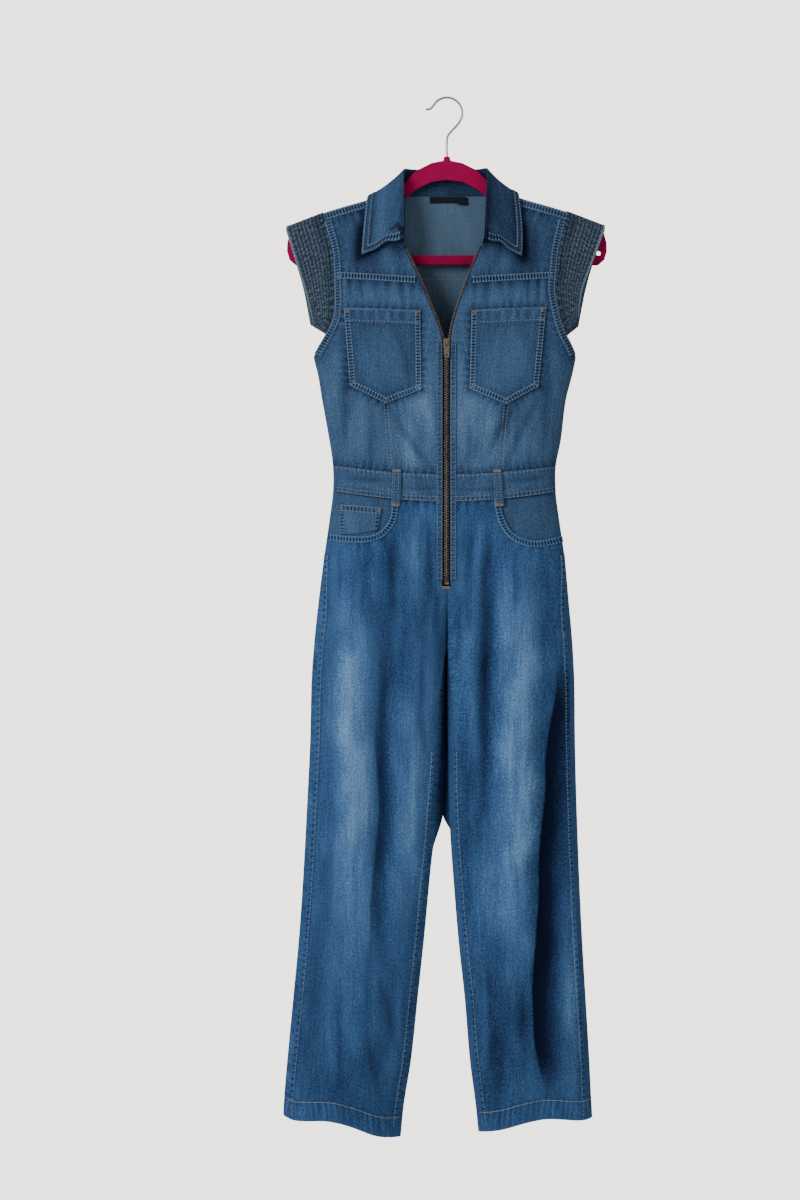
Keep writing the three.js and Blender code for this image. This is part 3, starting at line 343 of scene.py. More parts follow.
FRONT_CREASES = [
    # Thighs: the pale columns, partly washed and partly painted light, and the narrow valleys beside
    # them, darkened with painted shade
    (-134, -570, -122, -1280, 27, 1.5, 0.20), (-116, -780, -108, -1200, 14, 1.2, 0.08),
    (-46, -820, -44, -1160, 17, 0.0, 0.15), (78, -1140, 74, -1460, 26, 0.0, -0.15),
    (-114, -590, -118, -780, 26, 0.0, -0.10), (112, -590, 112, -780, 26, 0.0, -0.08),
    (-130, -1300, -126, -1470, 40, 0.0, -0.10), (174, -1100, 180, -1430, 13, 0.0, 0.14),
    (-146, -700, -132, -1010, 12, 1.0, 0.07), (-70, -800, -74, -1215, 15, 1.4, 0.10),
    (-84, -700, -90, -990, 6, -1.8, -0.10),
    (-120, -930, -128, -1160, 5, -1.3, -0.08), (-34, -700, -32, -980, 6, -1.6, -0.12),
    (-47, -840, -44, -1130, 6, 1.2, 0.07), (-158, -860, -168, -1180, 7, -1.4, -0.08),
    (-60, -640, -58, -850, 6, -1.2, -0.06), (-126, -600, -130, -820, 6, -1.1, -0.05),
    (112, -580, 90, -1290, 30, 1.6, 0.20), (116, -760, 102, -1160, 15, 1.2, 0.04),
    (60, -630, 46, -1110, 9, -2.4, -0.20),
    (-22, -700, -30, -1010, 16, 0.0, 0.12), (-34, -560, -36, -720, 22, 0.0, 0.10),
    (98, -850, 95, -1040, 5, -1.8, -0.13), (84, -1000, 108, -1190, 6, -1.4, -0.08),
    (177, -760, 180, -1400, 5, 1.0, 0.08),
    (24, -800, 30, -1180, 8, -1.6, -0.10), (42, -900, 62, -1240, 7, 1.2, 0.07),
    (56, -680, 50, -860, 6, -1.4, -0.09), (132, -640, 140, -840, 6, -1.2, -0.07),
    # Lower legs
    (-182, -1130, -192, -1430, 9, -2.2, -0.10), (-92, -1230, -68, -1340, 6, -2.2, -0.12),
    (-140, -1190, -128, -1400, 9, 1.2, 0.07), (-118, -1290, -84, -1420, 6, -1.4, -0.08),
    (-164, -1180, -158, -1390, 6, 1.1, 0.07), (-104, -1160, -112, -1300, 6, -1.4, -0.09),
    (-62, -1200, -74, -1400, 7, 1.2, 0.07), (-150, -1250, -146, -1420, 4, -1.2, -0.08),
    (84, -1180, 96, -1420, 8, 1.2, 0.07), (110, -1230, 100, -1330, 6, -1.6, -0.10),
    (60, -1200, 66, -1400, 6, -1.2, -0.09), (46, -1130, 54, -1360, 6, 1.2, 0.07),
    (164, -1090, 172, -1420, 9, 1.2, 0.09), (120, -1280, 116, -1424, 6, 1.1, 0.06),
    (78, -1300, 72, -1430, 4, -1.2, -0.08), (186, -1190, 190, -1420, 4, -1.2, -0.08),
    # Hips, below the waistband and round the pockets
    (-73, -610, -80, -740, 5, -2.0, -0.12), (-60, -596, -62, -700, 6, 1.4, 0.08),
    (-24, -590, -27, -720, 5, -1.9, -0.13), (-41, -585, -43, -700, 7, 1.2, 0.08),
    (36, -588, 28, -750, 6, -2.2, -0.13), (62, -596, 50, -720, 5, -2.0, -0.12),
    (82, -640, 76, -820, 12, 1.4, 0.10), (118, -636, 114, -800, 14, 1.2, 0.08),
    (96, -632, 93, -730, 5, -1.6, -0.11), (-112, -628, -118, -740, 5, -1.4, -0.09),
    (20, -690, 14, -790, 5, -1.2, -0.10), (-14, -680, -10, -790, 5, -1.4, -0.10),
    (-148, -625, -152, -720, 5, -1.2, -0.07), (-96, -622, -100, -720, 5, 1.2, 0.06),
    (140, -634, 142, -740, 5, -1.2, -0.08), (48, -580, 44, -690, 5, 1.2, 0.07),
    (-34, -578, -36, -660, 4, -1.2, -0.08), (12, -580, 12, -670, 4, 1.0, 0.06),
    # Chest and midriff
    (-68, -330, -44, -420, 6, -1.4, -0.10), (-146, -320, -140, -512, 6, -2.0, -0.12),
    (104, -420, 48, -516, 6, -2.0, -0.13), (126, -420, 80, -522, 6, -1.8, -0.12),
    (-78, -434, -24, -522, 6, -2.0, -0.13), (-30, -300, -22, -520, 9, 1.2, 0.12),
    (22, -320, 18, -520, 9, 1.0, 0.10), (-56, -420, -50, -530, 11, 1.2, 0.14),
    (58, -420, 64, -530, 11, 1.2, 0.13), (144, -330, 136, -500, 6, -1.6, -0.10),
    (-118, -410, -122, -524, 10, 1.0, 0.08), (106, -450, 108, -528, 8, 1.0, 0.10),
    (-44, -380, -38, -540, 26, 0.0, 0.14), (40, -380, 38, -540, 26, 0.0, 0.14),
    (-104, -440, -108, -522, 5, -1.3, -0.08), (-134, -440, -138, -520, 5, 1.0, 0.06),
    (34, -450, 28, -522, 4, -1.2, -0.08), (-14, -400, -12, -520, 4, -1.0, -0.07),
    (92, -440, 94, -520, 4, 1.0, 0.08), (124, -470, 128, -524, 5, 1.0, 0.07),
    (-96, -196, -74, -254, 8, 1.0, 0.06), (96, -196, 76, -254, 8, 1.0, 0.06),
    (-122, -176, -126, -252, 6, -1.2, -0.08), (126, -176, 122, -252, 6, -1.2, -0.08),
    (-80, -170, -58, -250, 5, -1.0, -0.06), (82, -170, 66, -250, 5, -1.0, -0.06),
]
FRONT_LAPS = [  # a folded edge: its line down the leg, how far its shade reaches, depth, shade
    ([157, 147, 138, 134, 129, 124, 117, 121, 137],
     [770, 859, 925, 991, 1057, 1182, 1250, 1310, 1400], 28, 2.2, -0.48),
    ([-106, -97, -96, -100, -108, -106], [840, 927, 1000, 1067, 1130, 1210], 19, 1.6, -0.21),
]
BACK_FOLDS = [
    (-70, -280, -60, -500, 26, 3, 0.06), (74, -280, 58, -500, 26, 3, 0.06),
    (-20, -300, 12, -510, 24, -3, -0.08), (-118, -640, -128, -1300, 26, 4, 0.16),
    (-70, -700, -84, -1380, 22, -6, -0.14), (112, -640, 116, -1300, 26, 4, 0.16),
    (66, -700, 78, -1380, 22, -6, -0.14),
]
BACK_CREASES = [
    (-90, -600, -104, -760, 22, 1.6, 0.16), (92, -600, 100, -760, 22, 1.6, 0.16),
    (-40, -590, -34, -780, 10, -2.0, -0.14), (44, -590, 36, -780, 10, -2.0, -0.14),
    (-150, -800, -156, -1380, 12, -1.8, -0.12), (146, -800, 150, -1380, 12, -1.8, -0.12),
    (-50, -150, -40, -250, 10, 1.4, 0.10), (-12, -145, -16, -250, 8, 1.2, 0.08),
    (24, -148, 26, -250, 9, 1.4, 0.10), (60, -150, 50, -250, 8, 1.0, 0.08),
    (-100, -330, -70, -480, 10, -1.6, -0.10), (104, -330, 76, -480, 10, -1.6, -0.10),
]


def side_of(left):
    """A side's name, and which way lies outward on it."""
    return ("left", -1) if left else ("right", 1)


def lerp(a, b, share):
    return a + (b - a) * share


def bell(off, wide):
    """1 in the middle, and less towards both sides."""
    return np.exp(-(off / wide) ** 2)


def smooth(value):
    value = np.clip(value, 0, 1)
    return value * value * (3 - 2 * value)


def curve(keys, values):
    """A smooth line through given values, read at any place between the first and the last."""
    keys, values = np.asarray(keys, float), np.asarray(values, float)
    if keys[0] > keys[-1]:
        keys, values = keys[::-1], values[::-1]
    slopes = np.empty_like(values)
    slopes[1:-1] = (values[2:] - values[:-2]) / (keys[2:] - keys[:-2])
    slopes[0] = (values[1] - values[0]) / (keys[1] - keys[0])
    slopes[-1] = (values[-1] - values[-2]) / (keys[-1] - keys[-2])

    def read(at):
        at = np.clip(at, keys[0], keys[-1])
        b = np.clip(np.searchsorted(keys, at), 1, len(keys) - 1)
        a = b - 1
        span = keys[b] - keys[a]
        t = (at - keys[a]) / span
        t2, t3 = t * t, t * t * t
        return ((2 * t3 - 3 * t2 + 1) * values[a] + (t3 - 2 * t2 + t) * slopes[a] * span
                + (3 * t2 - 2 * t3) * values[b] + (t3 - t2) * slopes[b] * span)
    return read


def by_side(table):
    return {True: curve(table[:, 0], table[:, 1]), False: curve(table[:, 0], table[:, 2])}


outline, leg_inside = by_side(OUTLINE), by_side(LEG_INSIDE)
armhole, front_edge, hem_edge = by_side(ARMHOLE), by_side(FRONT_EDGE), by_side(HEM_EDGE)
depth_front = curve(OUTLINE[:, 0], OUTLINE[:, 3])
depth_back = curve(OUTLINE[:, 0], OUTLINE[:, 4])
shoulder_line = curve(SHOULDER[:, 0], SHOULDER[:, 1])


def inside(left, z):
    middle = -0.15 if left else 0.15
    parted = smooth((CROTCH - z) / 20)
    return np.where(z >= CROTCH, middle, lerp(middle, leg_inside[left](z), parted))


def shoulder_top(x):
    out = np.abs(x)
    neck_x, neck_z = SHOULDER[0]
    arch = neck_z + 40 * (1 - (np.minimum(out, neck_x) / neck_x) ** 2)
    return np.where(out < neck_x, arch, shoulder_line(out))


FOLDS = {True: FRONT_FOLDS + FRONT_CREASES, False: BACK_FOLDS + BACK_CREASES}


def strokes(front, column, x, z):
    """What the rows of the fold tables add up to at each place: heights (0) or tone (1), the wash with
    painted light and shade.
    """
    total = np.zeros(np.shape(x))
    for x0, z0, x1, z1, wide, *rest in FOLDS[front]:
        t = np.clip((z0 - z) / (z0 - z1), 0, 1)
        wander = 0.22 * wide * (np.sin(z / 31 + x0) + 0.6 * np.sin(z / 12.7 + 2 * x0))
        off = (x - lerp(x0, x1, t) + wander) / wide
        total = total + rest[column] * np.exp(-off * off) * np.sin(np.pi * t) ** 0.8
    return total


def lapped(x, z, column):
    """The depth (0) or the shade (1) beside a folded edge, sharp on its left side only."""
    total = np.zeros(np.shape(x))
    for xs, down, reach, *rest in FRONT_LAPS:
        off = x - np.interp(-z, down, xs) - 1.2 * np.sin(z / 23 + xs[0])
        ends = smooth((-z - down[0]) / 110) * smooth((down[-1] + z) / 80)
        shade = smooth((off + 1.5) / 4) * bell(np.maximum(off, 0), reach)
        total = total + rest[column] * ends * shade
    return total


def ripple(x, z):
    """The slight unevenness that all hanging cloth has, in millimetres."""
    return (0.45 * np.sin(x / 13 + z / 61 + 1.3) * np.sin(z / 47 + 0.4)
            + 0.30 * np.sin(x / 7.5 - z / 83 + 2.1) * np.sin(z / 33 + x / 90)
            + 0.22 * np.sin(x / 4.6 + z / 39 + 0.7) * np.sin(z / 21 - x / 50 + 1.0))


def cloth_y(x, z, front=True, left=None):
    """How far the cloth's outside lies from the hanger's plane, at a place of the front view."""
    if left is None:
        return np.where(x < 0, cloth_y(x, z, front, True), cloth_y(x, z, front, False))
    inner, outer = inside(left, z), outline[left](z)
    cosine = np.clip((x - (outer + inner) / 2) / ((outer - inner) / 2), -1, 1)
    fold = np.sqrt(1 - cosine * cosine) ** ROUND
    legs = smooth((CROTCH + FORK - z) / FORK)
    share = np.where(cosine < 0, lerp(1, fold, legs), fold)
    below = np.maximum(0, shoulder_top(x) - SHOULDER_ROUND - z)
    swung = 1 - np.exp(-below / SHOULDER_FALL)
    uneven = strokes(front, 0, x, z) + ripple(x, z) - (lapped(x, z, 0) if front else 0.0)
    depth = ((depth_front if front else depth_back)(z) + uneven * swung) * share
    out = np.hypot(lerp(SHOULDER_ROUND, depth, swung), 0.15)
    return -out if front else out


def wash_and_shade(x, z, front=True):
    """How pale the denim is: the wash together with painted light on ridges and painted shade in valleys
    and beside folded edges. 0 is the plain cloth, valleys are below it.
    """
    legs = -0.03 * smooth((-1120 - z) / 160)
    return strokes(front, 1, x, z) + legs + (lapped(x, z, 1) if front else 0.0)


def washed_and_shaded(front=True, share=1.0, lift=0.0):
    """The rule by which a piece takes its share of the wash with its painted light and shade, from a
    little paler or darker.
    """
    def fade(u, v, found):
        return wash_and_shade(found[:, 0], found[:, 2], front) * share + lift
    return fade


def nearest(x, z, line):
    """How far each place is from a line, and how far along the line it is."""
    best, run, done = np.full(np.shape(x), 1e6), np.zeros(np.shape(x)), 0.0
    for (x0, z0), (x1, z1) in zip(line[:-1], line[1:]):
        long = math.hypot(x1 - x0, z1 - z0)
        t = np.clip(((x - x0) * (x1 - x0) + (z - z0) * (z1 - z0)) / long ** 2, 0, 1)
        far = np.hypot(x - lerp(x0, x1, t), z - lerp(z0, z1, t))
        run = np.where(far < best, done + t * long, run)
        best = np.minimum(best, far)
        done += long
    return best, run


def drawn_up(x, z, lines, reach=15, period=10.5):
    """The small folds that stand square to a stitched line, 1 on a ridge and -1 in a furrow."""
    total = np.zeros(np.shape(x))
    for number, line in enumerate(lines):
        far, run = nearest(x, z, line)
        long = reach * (0.75 + 0.45 * np.sin(run / 9.1 + number) * np.sin(run / 23.0))
        total += pucker(run, far / reach, period, 31 + 7 * number) * np.exp(-(far / long) ** 1.5)
    return total


def hollow(x, z, lines, reach=7):
    """How close each place lies under a raised edge, where the light does not reach."""
    total = np.zeros(np.shape(x))
    for line in lines:
        total = np.maximum(total, np.exp(-(nearest(x, z, line)[0] / reach) ** 1.3))
    return total


def laid(x, z, lift=0.0, front=True, left=None):
    """Points that lie on the garment, or the given distance above it."""
    x, z = np.asarray(x, float), np.asarray(z, float)
    if left is None and np.all(x < 0):
        left = True
    elif left is None and np.all(x >= 0):
        left = False
    y = cloth_y(x, z, front, left)
    step = 0.4
    across = (cloth_y(x + step, z, front, left) - cloth_y(x - step, z, front, left)) / (2 * step)
    down = (cloth_y(x, z + step, front, left) - cloth_y(x, z - step, front, left)) / (2 * step)
    way = -1.0 if front else 1.0
    normal = np.stack([-across * way, np.full(x.shape, way), -down * way], -1)
    normal[..., 0] = np.clip(normal[..., 0], -3, 3)
    normal /= np.linalg.norm(normal, axis=-1, keepdims=True)
    return np.stack([x, y, z], -1) + normal * np.asarray(lift)[..., None]


NEXT_WEAVE = 37.0  # how far on in the cloth the next grid of a piece is cut


def standing(x, z, lift, front=True, left=None):
    """Places at a distance above the garment, and the way out of it at each."""
    low = laid(x, z, lift, front, left)
    return low, laid(x, z, lift + 1, front, left) - low


class Cloth:
    """One piece of cloth, made of grids that are laid where the given rules say."""

    def __init__(self, name):
        self.name, self.bm = name, bmesh.new()
        self.points, self.weave, self.fade, self.wear = [], [], [], []

    def grid(self, columns, rows, place, outward, fade=None, wear=None,
             turned_grain=False, even_grain=False):
        made = bmesh.ops.create_grid(self.bm, x_segments=columns, y_segments=rows, size=0.5)
        spread = np.array([v.co[:2] for v in made["verts"]]) + 0.5
        u, v = spread[:, 0], spread[:, 1]
        probe = place(np.array([0.5, 0.52, 0.5]), np.array([0.5, 0.5, 0.52]))
        if np.dot(np.cross(probe[1] - probe[0], probe[2] - probe[0]), outward) < 0:
            u = 1 - u
        points = place(u, v)
        order = np.lexsort((u, v))
        table = points[order].reshape(rows + 1, columns + 1, 3)
        across, along = np.diff(table, axis=1), np.diff(table, axis=0)
        x_run = np.pad(np.cumsum(np.linalg.norm(across, axis=-1), axis=1), ((0, 0), (1, 0)))
        x_run -= x_run[:, [columns // 2]]
        # the yarns run on evenly over a fold, so each row's places are a mean of its neighbours'
        reach = rows // 8
        ends = np.pad(x_run, ((reach, reach), (0, 0)), mode="edge")
        sums = np.cumsum(np.vstack([np.zeros((1, columns + 1)), ends]), axis=0)
        x_run = (sums[2 * reach + 1:] - sums[:-2 * reach - 1]) / (2 * reach + 1)
        if even_grain:
            deep = np.abs(table[..., 1] - table[:, [columns // 2], 1])
            x_run = table[..., 0] + 0.7 * deep * np.sign(x_run)
        z_run = np.pad(np.cumsum(np.linalg.norm(along, axis=-1), axis=0), ((1, 0), (0, 0)))
        weave = np.zeros((len(u), 3))
        weave[order, 0], weave[order, 1] = x_run.ravel(), z_run.ravel()
        if turned_grain:
            weave = weave[:, [1, 0, 2]]
        weave[:, 0] += len(self.points) * NEXT_WEAVE
        self.points.append(points)
        self.weave.append(weave)
        self.fade.append(fade(u, v, points) if fade else np.zeros(len(u)))
        self.wear.append(wear(u, v, points) if wear else np.zeros(len(u)))
        return self

    def sewn(self, finishes, thick=CLOTH, remove=None, slot="denim", nodes=()):
        points = np.concatenate(self.points)
        keep = np.arange(len(points))
        if remove is not None:
            gone = remove(points)
            self.bm.verts.index_update()
            bad = [f for f in self.bm.faces if any(gone[v.index] for v in f.verts)]
            tag = self.bm.verts.layers.int.new("place")
            for i, vert in enumerate(self.bm.verts):
                vert[tag] = i
            bmesh.ops.delete(self.bm, geom=bad, context="FACES")
            keep = np.array([vert[tag] for vert in self.bm.verts])
            self.bm.verts.layers.int.remove(tag)
        mesh = meshed(self.name, self.bm)
        mesh.vertices.foreach_set("co", (points[keep] * MM).astype(np.float32).ravel())
        # The layer of wash also carries painted light and shade.
        layers = (("weave", "FLOAT_VECTOR", "vector", np.concatenate(self.weave) * MM),
                  ("fade", "FLOAT", "value", np.concatenate(self.fade)),
                  ("wear", "FLOAT", "value", np.concatenate(self.wear)))
        for name, kind, field, values in layers:
            layer = mesh.attributes.new(name, kind, "POINT")
            layer.data.foreach_set(field, values[keep].astype(np.float32).ravel())
        mesh.polygons.foreach_set("use_smooth", [True] * len(mesh.polygons))
        mesh.update()
        piece = linked(self.name, mesh)
        for finish in finishes:
            mesh.materials.append(finish)
        wall = piece.modifiers.new("thickness", "SOLIDIFY")
        wall.thickness = thick * MM
        wall.offset = -1
        wall.use_even_offset = False
        wall.material_offset = len(finishes) - 1
        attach(piece, "garment")
        if nodes:
            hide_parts(*nodes)
        return piece


INDIGO = [(0.0, 6, 20, 44), (0.22, 36, 54, 82), (0.42, 55, 83, 118), (0.62, 80, 111, 147),
          (0.82, 116, 149, 187), (1.0, 177, 196, 218)]
DEEP_INDIGO = [(0.0, 2, 14, 42), (0.22, 28, 51, 88), (0.42, 48, 84, 128), (0.62, 74, 113, 160),
               (0.82, 110, 151, 198), (1.0, 148, 180, 214)]
GREYED = [(0.0, 14, 22, 36), (0.3, 34, 47, 64), (0.55, 64, 81, 99), (0.8, 112, 130, 145),
          (1.0, 172, 185, 194)]


def denim(name, level, stops=INDIGO, rough=1.0, wear_share=1.0, fade_and_shade_share=1.0):
    finish = Finish(name)
    weave = finish.layer("weave", "Vector")
    fade, wear = finish.layer("fade"), finish.layer("wear")
    slub = finish.yarns(weave, 300.0, 13.0, 4.0, 0.65)
    streak = finish.yarns(weave, 560.0, 46.0, 3.0, 0.6)
    grain = finish.yarns(weave, 520.0, 340.0, 3.0, 0.7)
    cloud = finish.yarns(weave, 42.0, 15.0, 4.0, 0.6)
    across, along, _ = finish.split(weave)
    twill = (across * 3300.0 + along * 2300.0).sine()
    texture = ((slub - 0.5) * 0.24 + (streak - 0.5) * 0.24 + (grain - 0.5) * 0.86
               + (cloud - 0.5) * 0.30 + twill * 0.02)
    # The layer of wash read here also carries painted light and shade.
    tone = level + fade * fade_and_shade_share * (0.85 + slub * 0.3) + wear * wear_share + texture * rough
    colour = finish.shade(stops, tone)
    height = slub * 0.6 + streak * 0.5 + grain * 0.8 + twill * 0.2
    return finish.surface(
        base_color=colour, roughness=0.84 + cloud * 0.1, sheen_weight=0.03, sheen_roughness=0.5,
        specular_ior_level=0.12, normal=finish.bump(height, 0.0005, 0.8))


DENIM = denim("washed_denim", 0.42)
LEG_DENIM = denim("washed_leg_denim", 0.43, DEEP_INDIGO)
DENIM_BACK = denim("denim_reverse", 0.42, [
    (0.0, 34, 54, 82), (0.5, 88, 112, 136), (1.0, 146, 162, 176)], 0.7, 0.4, 0.9)
FACES, LEG_FACES = [DENIM, DENIM_BACK], [LEG_DENIM, DENIM_BACK]
TRIM_THICK = 0.6


def thread_finish(name, dark, light):
    finish = Finish(name)
    place = finish.place()
    twist = finish.noise(place, 1800.0, 2.0)
    lot = finish.noise(place, 120.0, 2.0)
    colour = finish.shade([(0.3, *dark), (0.7, *light)], twist * 0.5 + lot * 0.5)
    return finish.surface(base_color=colour, roughness=0.6 + lot * 0.2,
                          normal=finish.bump(twist, 0.0002, 0.8))


THREAD = thread_finish("seam_thread", (118, 132, 146), (172, 178, 182))
TAN_THREAD = thread_finish("tan_thread", (132, 122, 112), (180, 164, 146))
TACK_THREAD = thread_finish("tack_thread", (140, 104, 82), (190, 150, 120))


def stitch_shape():
    bm = bmesh.new()
    bmesh.ops.create_uvsphere(bm, u_segments=6, v_segments=4, radius=0.5)
    bmesh.ops.rotate(bm, verts=bm.verts, matrix=Matrix.Rotation(math.pi / 2, 3, "Y"))
    return meshed("stitch", bm)


STITCH = stitch_shape()
STITCH_PITCH = 4.4


def stamp(bm, shape, at, way, up, long, wide, high):
    """One more copy of a small shape, with its length along way and its top towards up."""
    way, up = Vector(way).normalized(), Vector(up).normalized()
    turn = Matrix((way * long, way.cross(up) * -wide, up * high)).transposed()
    one = shape.copy()
    one.transform(Matrix.Translation(Vector(at) * MM) @ (turn * MM).to_4x4())
    bm.from_mesh(one)
    bpy.data.meshes.remove(one)


def route(points, step):
    """Even places along a smooth line through the given ones, and the length run so far."""
    points = np.asarray(points, float)
    chord = np.r_[0, np.cumsum(np.hypot(*np.diff(points, axis=0).T))]
    fine = np.linspace(0, chord[-1], int(chord[-1] * 2) + 4)
    x, z = curve(chord, points[:, 0])(fine), curve(chord, points[:, 1])(fine)
    run = np.r_[0, np.cumsum(np.hypot(np.diff(x), np.diff(z)))]
    even = np.linspace(0, run[-1], max(3, int(run[-1] / step) + 1))
    return np.interp(even, run, x), np.interp(even, run, z), even


def heading(x, z):
    dx, dz = np.gradient(x), np.gradient(z)
    size = np.hypot(dx, dz)
    return dx / size, dz / size


def beside(points, off):
    """A line that runs beside the given one, off to its left."""
    x, z, _ = route(points, 3.0)
    dx, dz = heading(x, z)
    return np.stack([x - dz * off, z + dx * off], -1)


class Stitching:
    """Rows of stitches that belong together, as one piece."""

    def __init__(self, name, finish=None):
        self.name, self.bm, self.finish = name, bmesh.new(), finish or THREAD

    def place(self, points, normals, long, thick):
        for at, way, up in zip(points, np.gradient(points, axis=0), normals):
            stamp(self.bm, STITCH, at, way, up, long, thick, thick * 0.8)
        return self

    def row(self, points, lift=1.2, long=2.8, thick=0.8, front=True, left=None):
        x, z, run = route(points, 0.5)
        count = max(3, round(run[-1] / STITCH_PITCH))
        at = (np.arange(count) + 0.5) / count * run[-1]
        x, z = np.interp(at, run, x), np.interp(at, run, z)
        return self.place(*standing(x, z, lift, front, left), long, thick)

    def rows(self, line, offs, **how):
        """A row beside the line at each of the given distances."""
        for off in offs:
            self.row(beside(line, off), **how)

    def tack(self, x, z, angle, lift=1.4, long=6.5, wide=2.4, front=True):
        """A bar tack: stitches packed side by side across a line."""
        way = np.array([math.cos(angle), math.sin(angle)])
        steps = np.arange(-long / 2, long / 2 + 0.1, 0.8)
        xs, zs = x + way[0] * steps, z + way[1] * steps
        across = np.array([-way[1], 0, way[0]])
        for at, up in zip(*standing(xs, zs, lift, front)):
            self.place(np.array([at - across, at + across]), [up, up], wide, 0.7)
        return self

    def sewn(self):
        self.bm.normal_update()
        mesh = meshed(self.name, self.bm)
        mesh.polygons.foreach_set("use_smooth", [True] * len(mesh.polygons))
        mesh.materials.append(self.finish)
        piece = linked(self.name, mesh)
        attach(piece, "garment")
        return piece


def pucker(run, across, period, seed):
    """How a stitched seam draws up: ridges across it, uneven in place and height."""
    wander = 0.9 * np.sin(run / 17.3 + seed) + 0.6 * np.sin(run / 7.7 + 2 * seed)
    wave = np.sin(2 * np.pi * run / period + wander + 0.9 * across)
    return wave * (0.75 + 0.25 * np.sin(run / 11.9 + 3 * seed))


def ladder(run, off, period, seed):
    """A stitched seam's marks: dark bars between the two rows, with paler tufts between them."""
    wander = 0.06 * np.sin(run / 6.1 + 2 * seed) + 0.08 * off
    bar = bell(np.sin(np.pi * (run / period + wander)), 0.62)
    between = 1 - smooth((np.abs(off) - 0.55) / 0.22)
    strength = 0.8 + 0.2 * np.sin(run / 9.3 + 3 * seed) * np.sin(run / 31.0)
    return (0.34 - 1.5 * bar * (0.18 + 0.82 * between)) * strength


FRONTWARDS, BACKWARDS = np.array([0.0, -1.0, 0.0]), np.array([0.0, 1.0, 0.0])
BAND_CROWN = 0.5


def facing(front):
    return FRONTWARDS if front else BACKWARDS


def halfway(start, end):
    return lerp(np.array(start), np.array(end), 0.5)


def band(cloth, points, half, lift=1.0, high=0.5, period=STITCH_PITCH, front=True, left=None,
         shade=0.0, contrast=0.2, seed=1.0, rim=0.13):
    """A raised, doubled strip of cloth along a seam, drawn up into puckers."""
    x, z, run = route(points, 1.2)
    dx, dz = heading(x, z)
    total = run[-1]
    period = total / max(1, round(total / period))

    def place(u, v):
        at, off = v * total, (u - 0.5) * 2
        px = np.interp(at, run, x) - np.interp(at, run, dz) * off * half
        pz = np.interp(at, run, z) + np.interp(at, run, dx) * off * half
        wave = ladder(at, off, period, seed) * (1 - off ** 4)
        return laid(px, pz, lift + BAND_CROWN * (1 - off ** 4) + wave * high, front, left)

    def wear(u, v, found):
        at, off = v * total, (u - 0.5) * 2
        edge = smooth((np.abs(off) - 0.66) / 0.34)
        return contrast * ladder(at, off, period, seed) * (1 - 0.75 * edge) + rim * edge

    return cloth.grid(8, max(4, int(total / 0.8)), place, facing(front), washed_and_shaded(front, lift=shade), wear)


# The back: a yoke that comes over both shoulders of the hanger and a little way down the front,
# and one plain piece below it. The seam between them is folded in and stitched twice.
def waist_seam(seam, x, front=True):
    middle, at_side = seam
    if not front:
        return np.full(np.shape(x), float(at_side))
    return lerp(middle, at_side, np.clip(np.abs(x) / WAIST_HALF, 0, 1) ** 2)


def outer_edge(left, z):
    return np.where(z > UNDERARM, armhole[left](z), outline[left](z))


def waist_line(seam, from_x, to_x, count):
    return [(x, float(waist_seam(seam, np.float64(x)))) for x in np.linspace(from_x, to_x, count)]


def armhole_line(left, inset, top, foot, count):
    way = side_of(left)[1]
    return [(float(armhole[left](z)) - way * inset, z) for z in np.linspace(top, foot, count)]


YOKE_ENDS = {True: -173.0, False: 167.0}
YOKE_TURN, YOKE_OVER = 0.55, 0.9  # shares of its length where it begins to bend, and is over


def back_yoke_place(from_x, to_x, is_neck):
    left = from_x + to_x < 0

    def place(u, v):
        x = lerp(from_x, to_x, u)
        if is_neck:
            return laid(x, lerp(YOKE_BACK, NECK_BACK, v), 0, False)
        top = shoulder_top(x) - SHOULDER_ROUND
        rise = lerp(YOKE_BACK, top, np.clip(v / YOKE_TURN, 0, 1))
        bend = np.pi * np.clip((v - YOKE_TURN) / (YOKE_OVER - YOKE_TURN), 0, 1)
        down = (SHOULDER_SEAM - SHOULDER_ROUND) * np.maximum(0, (v - YOKE_OVER) / (1 - YOKE_OVER))
        z = np.where(v < YOKE_TURN, rise, top + SHOULDER_ROUND * np.sin(bend) - down)
        squeeze = armhole[left](z) / YOKE_ENDS[left]
        x = x * lerp(1, squeeze, smooth((np.abs(x) - 80) / 60))
        y = np.where(v < YOKE_TURN, cloth_y(x, z, False), SHOULDER_ROUND * np.cos(bend))
        return np.stack([x, y, z], -1)
    return place


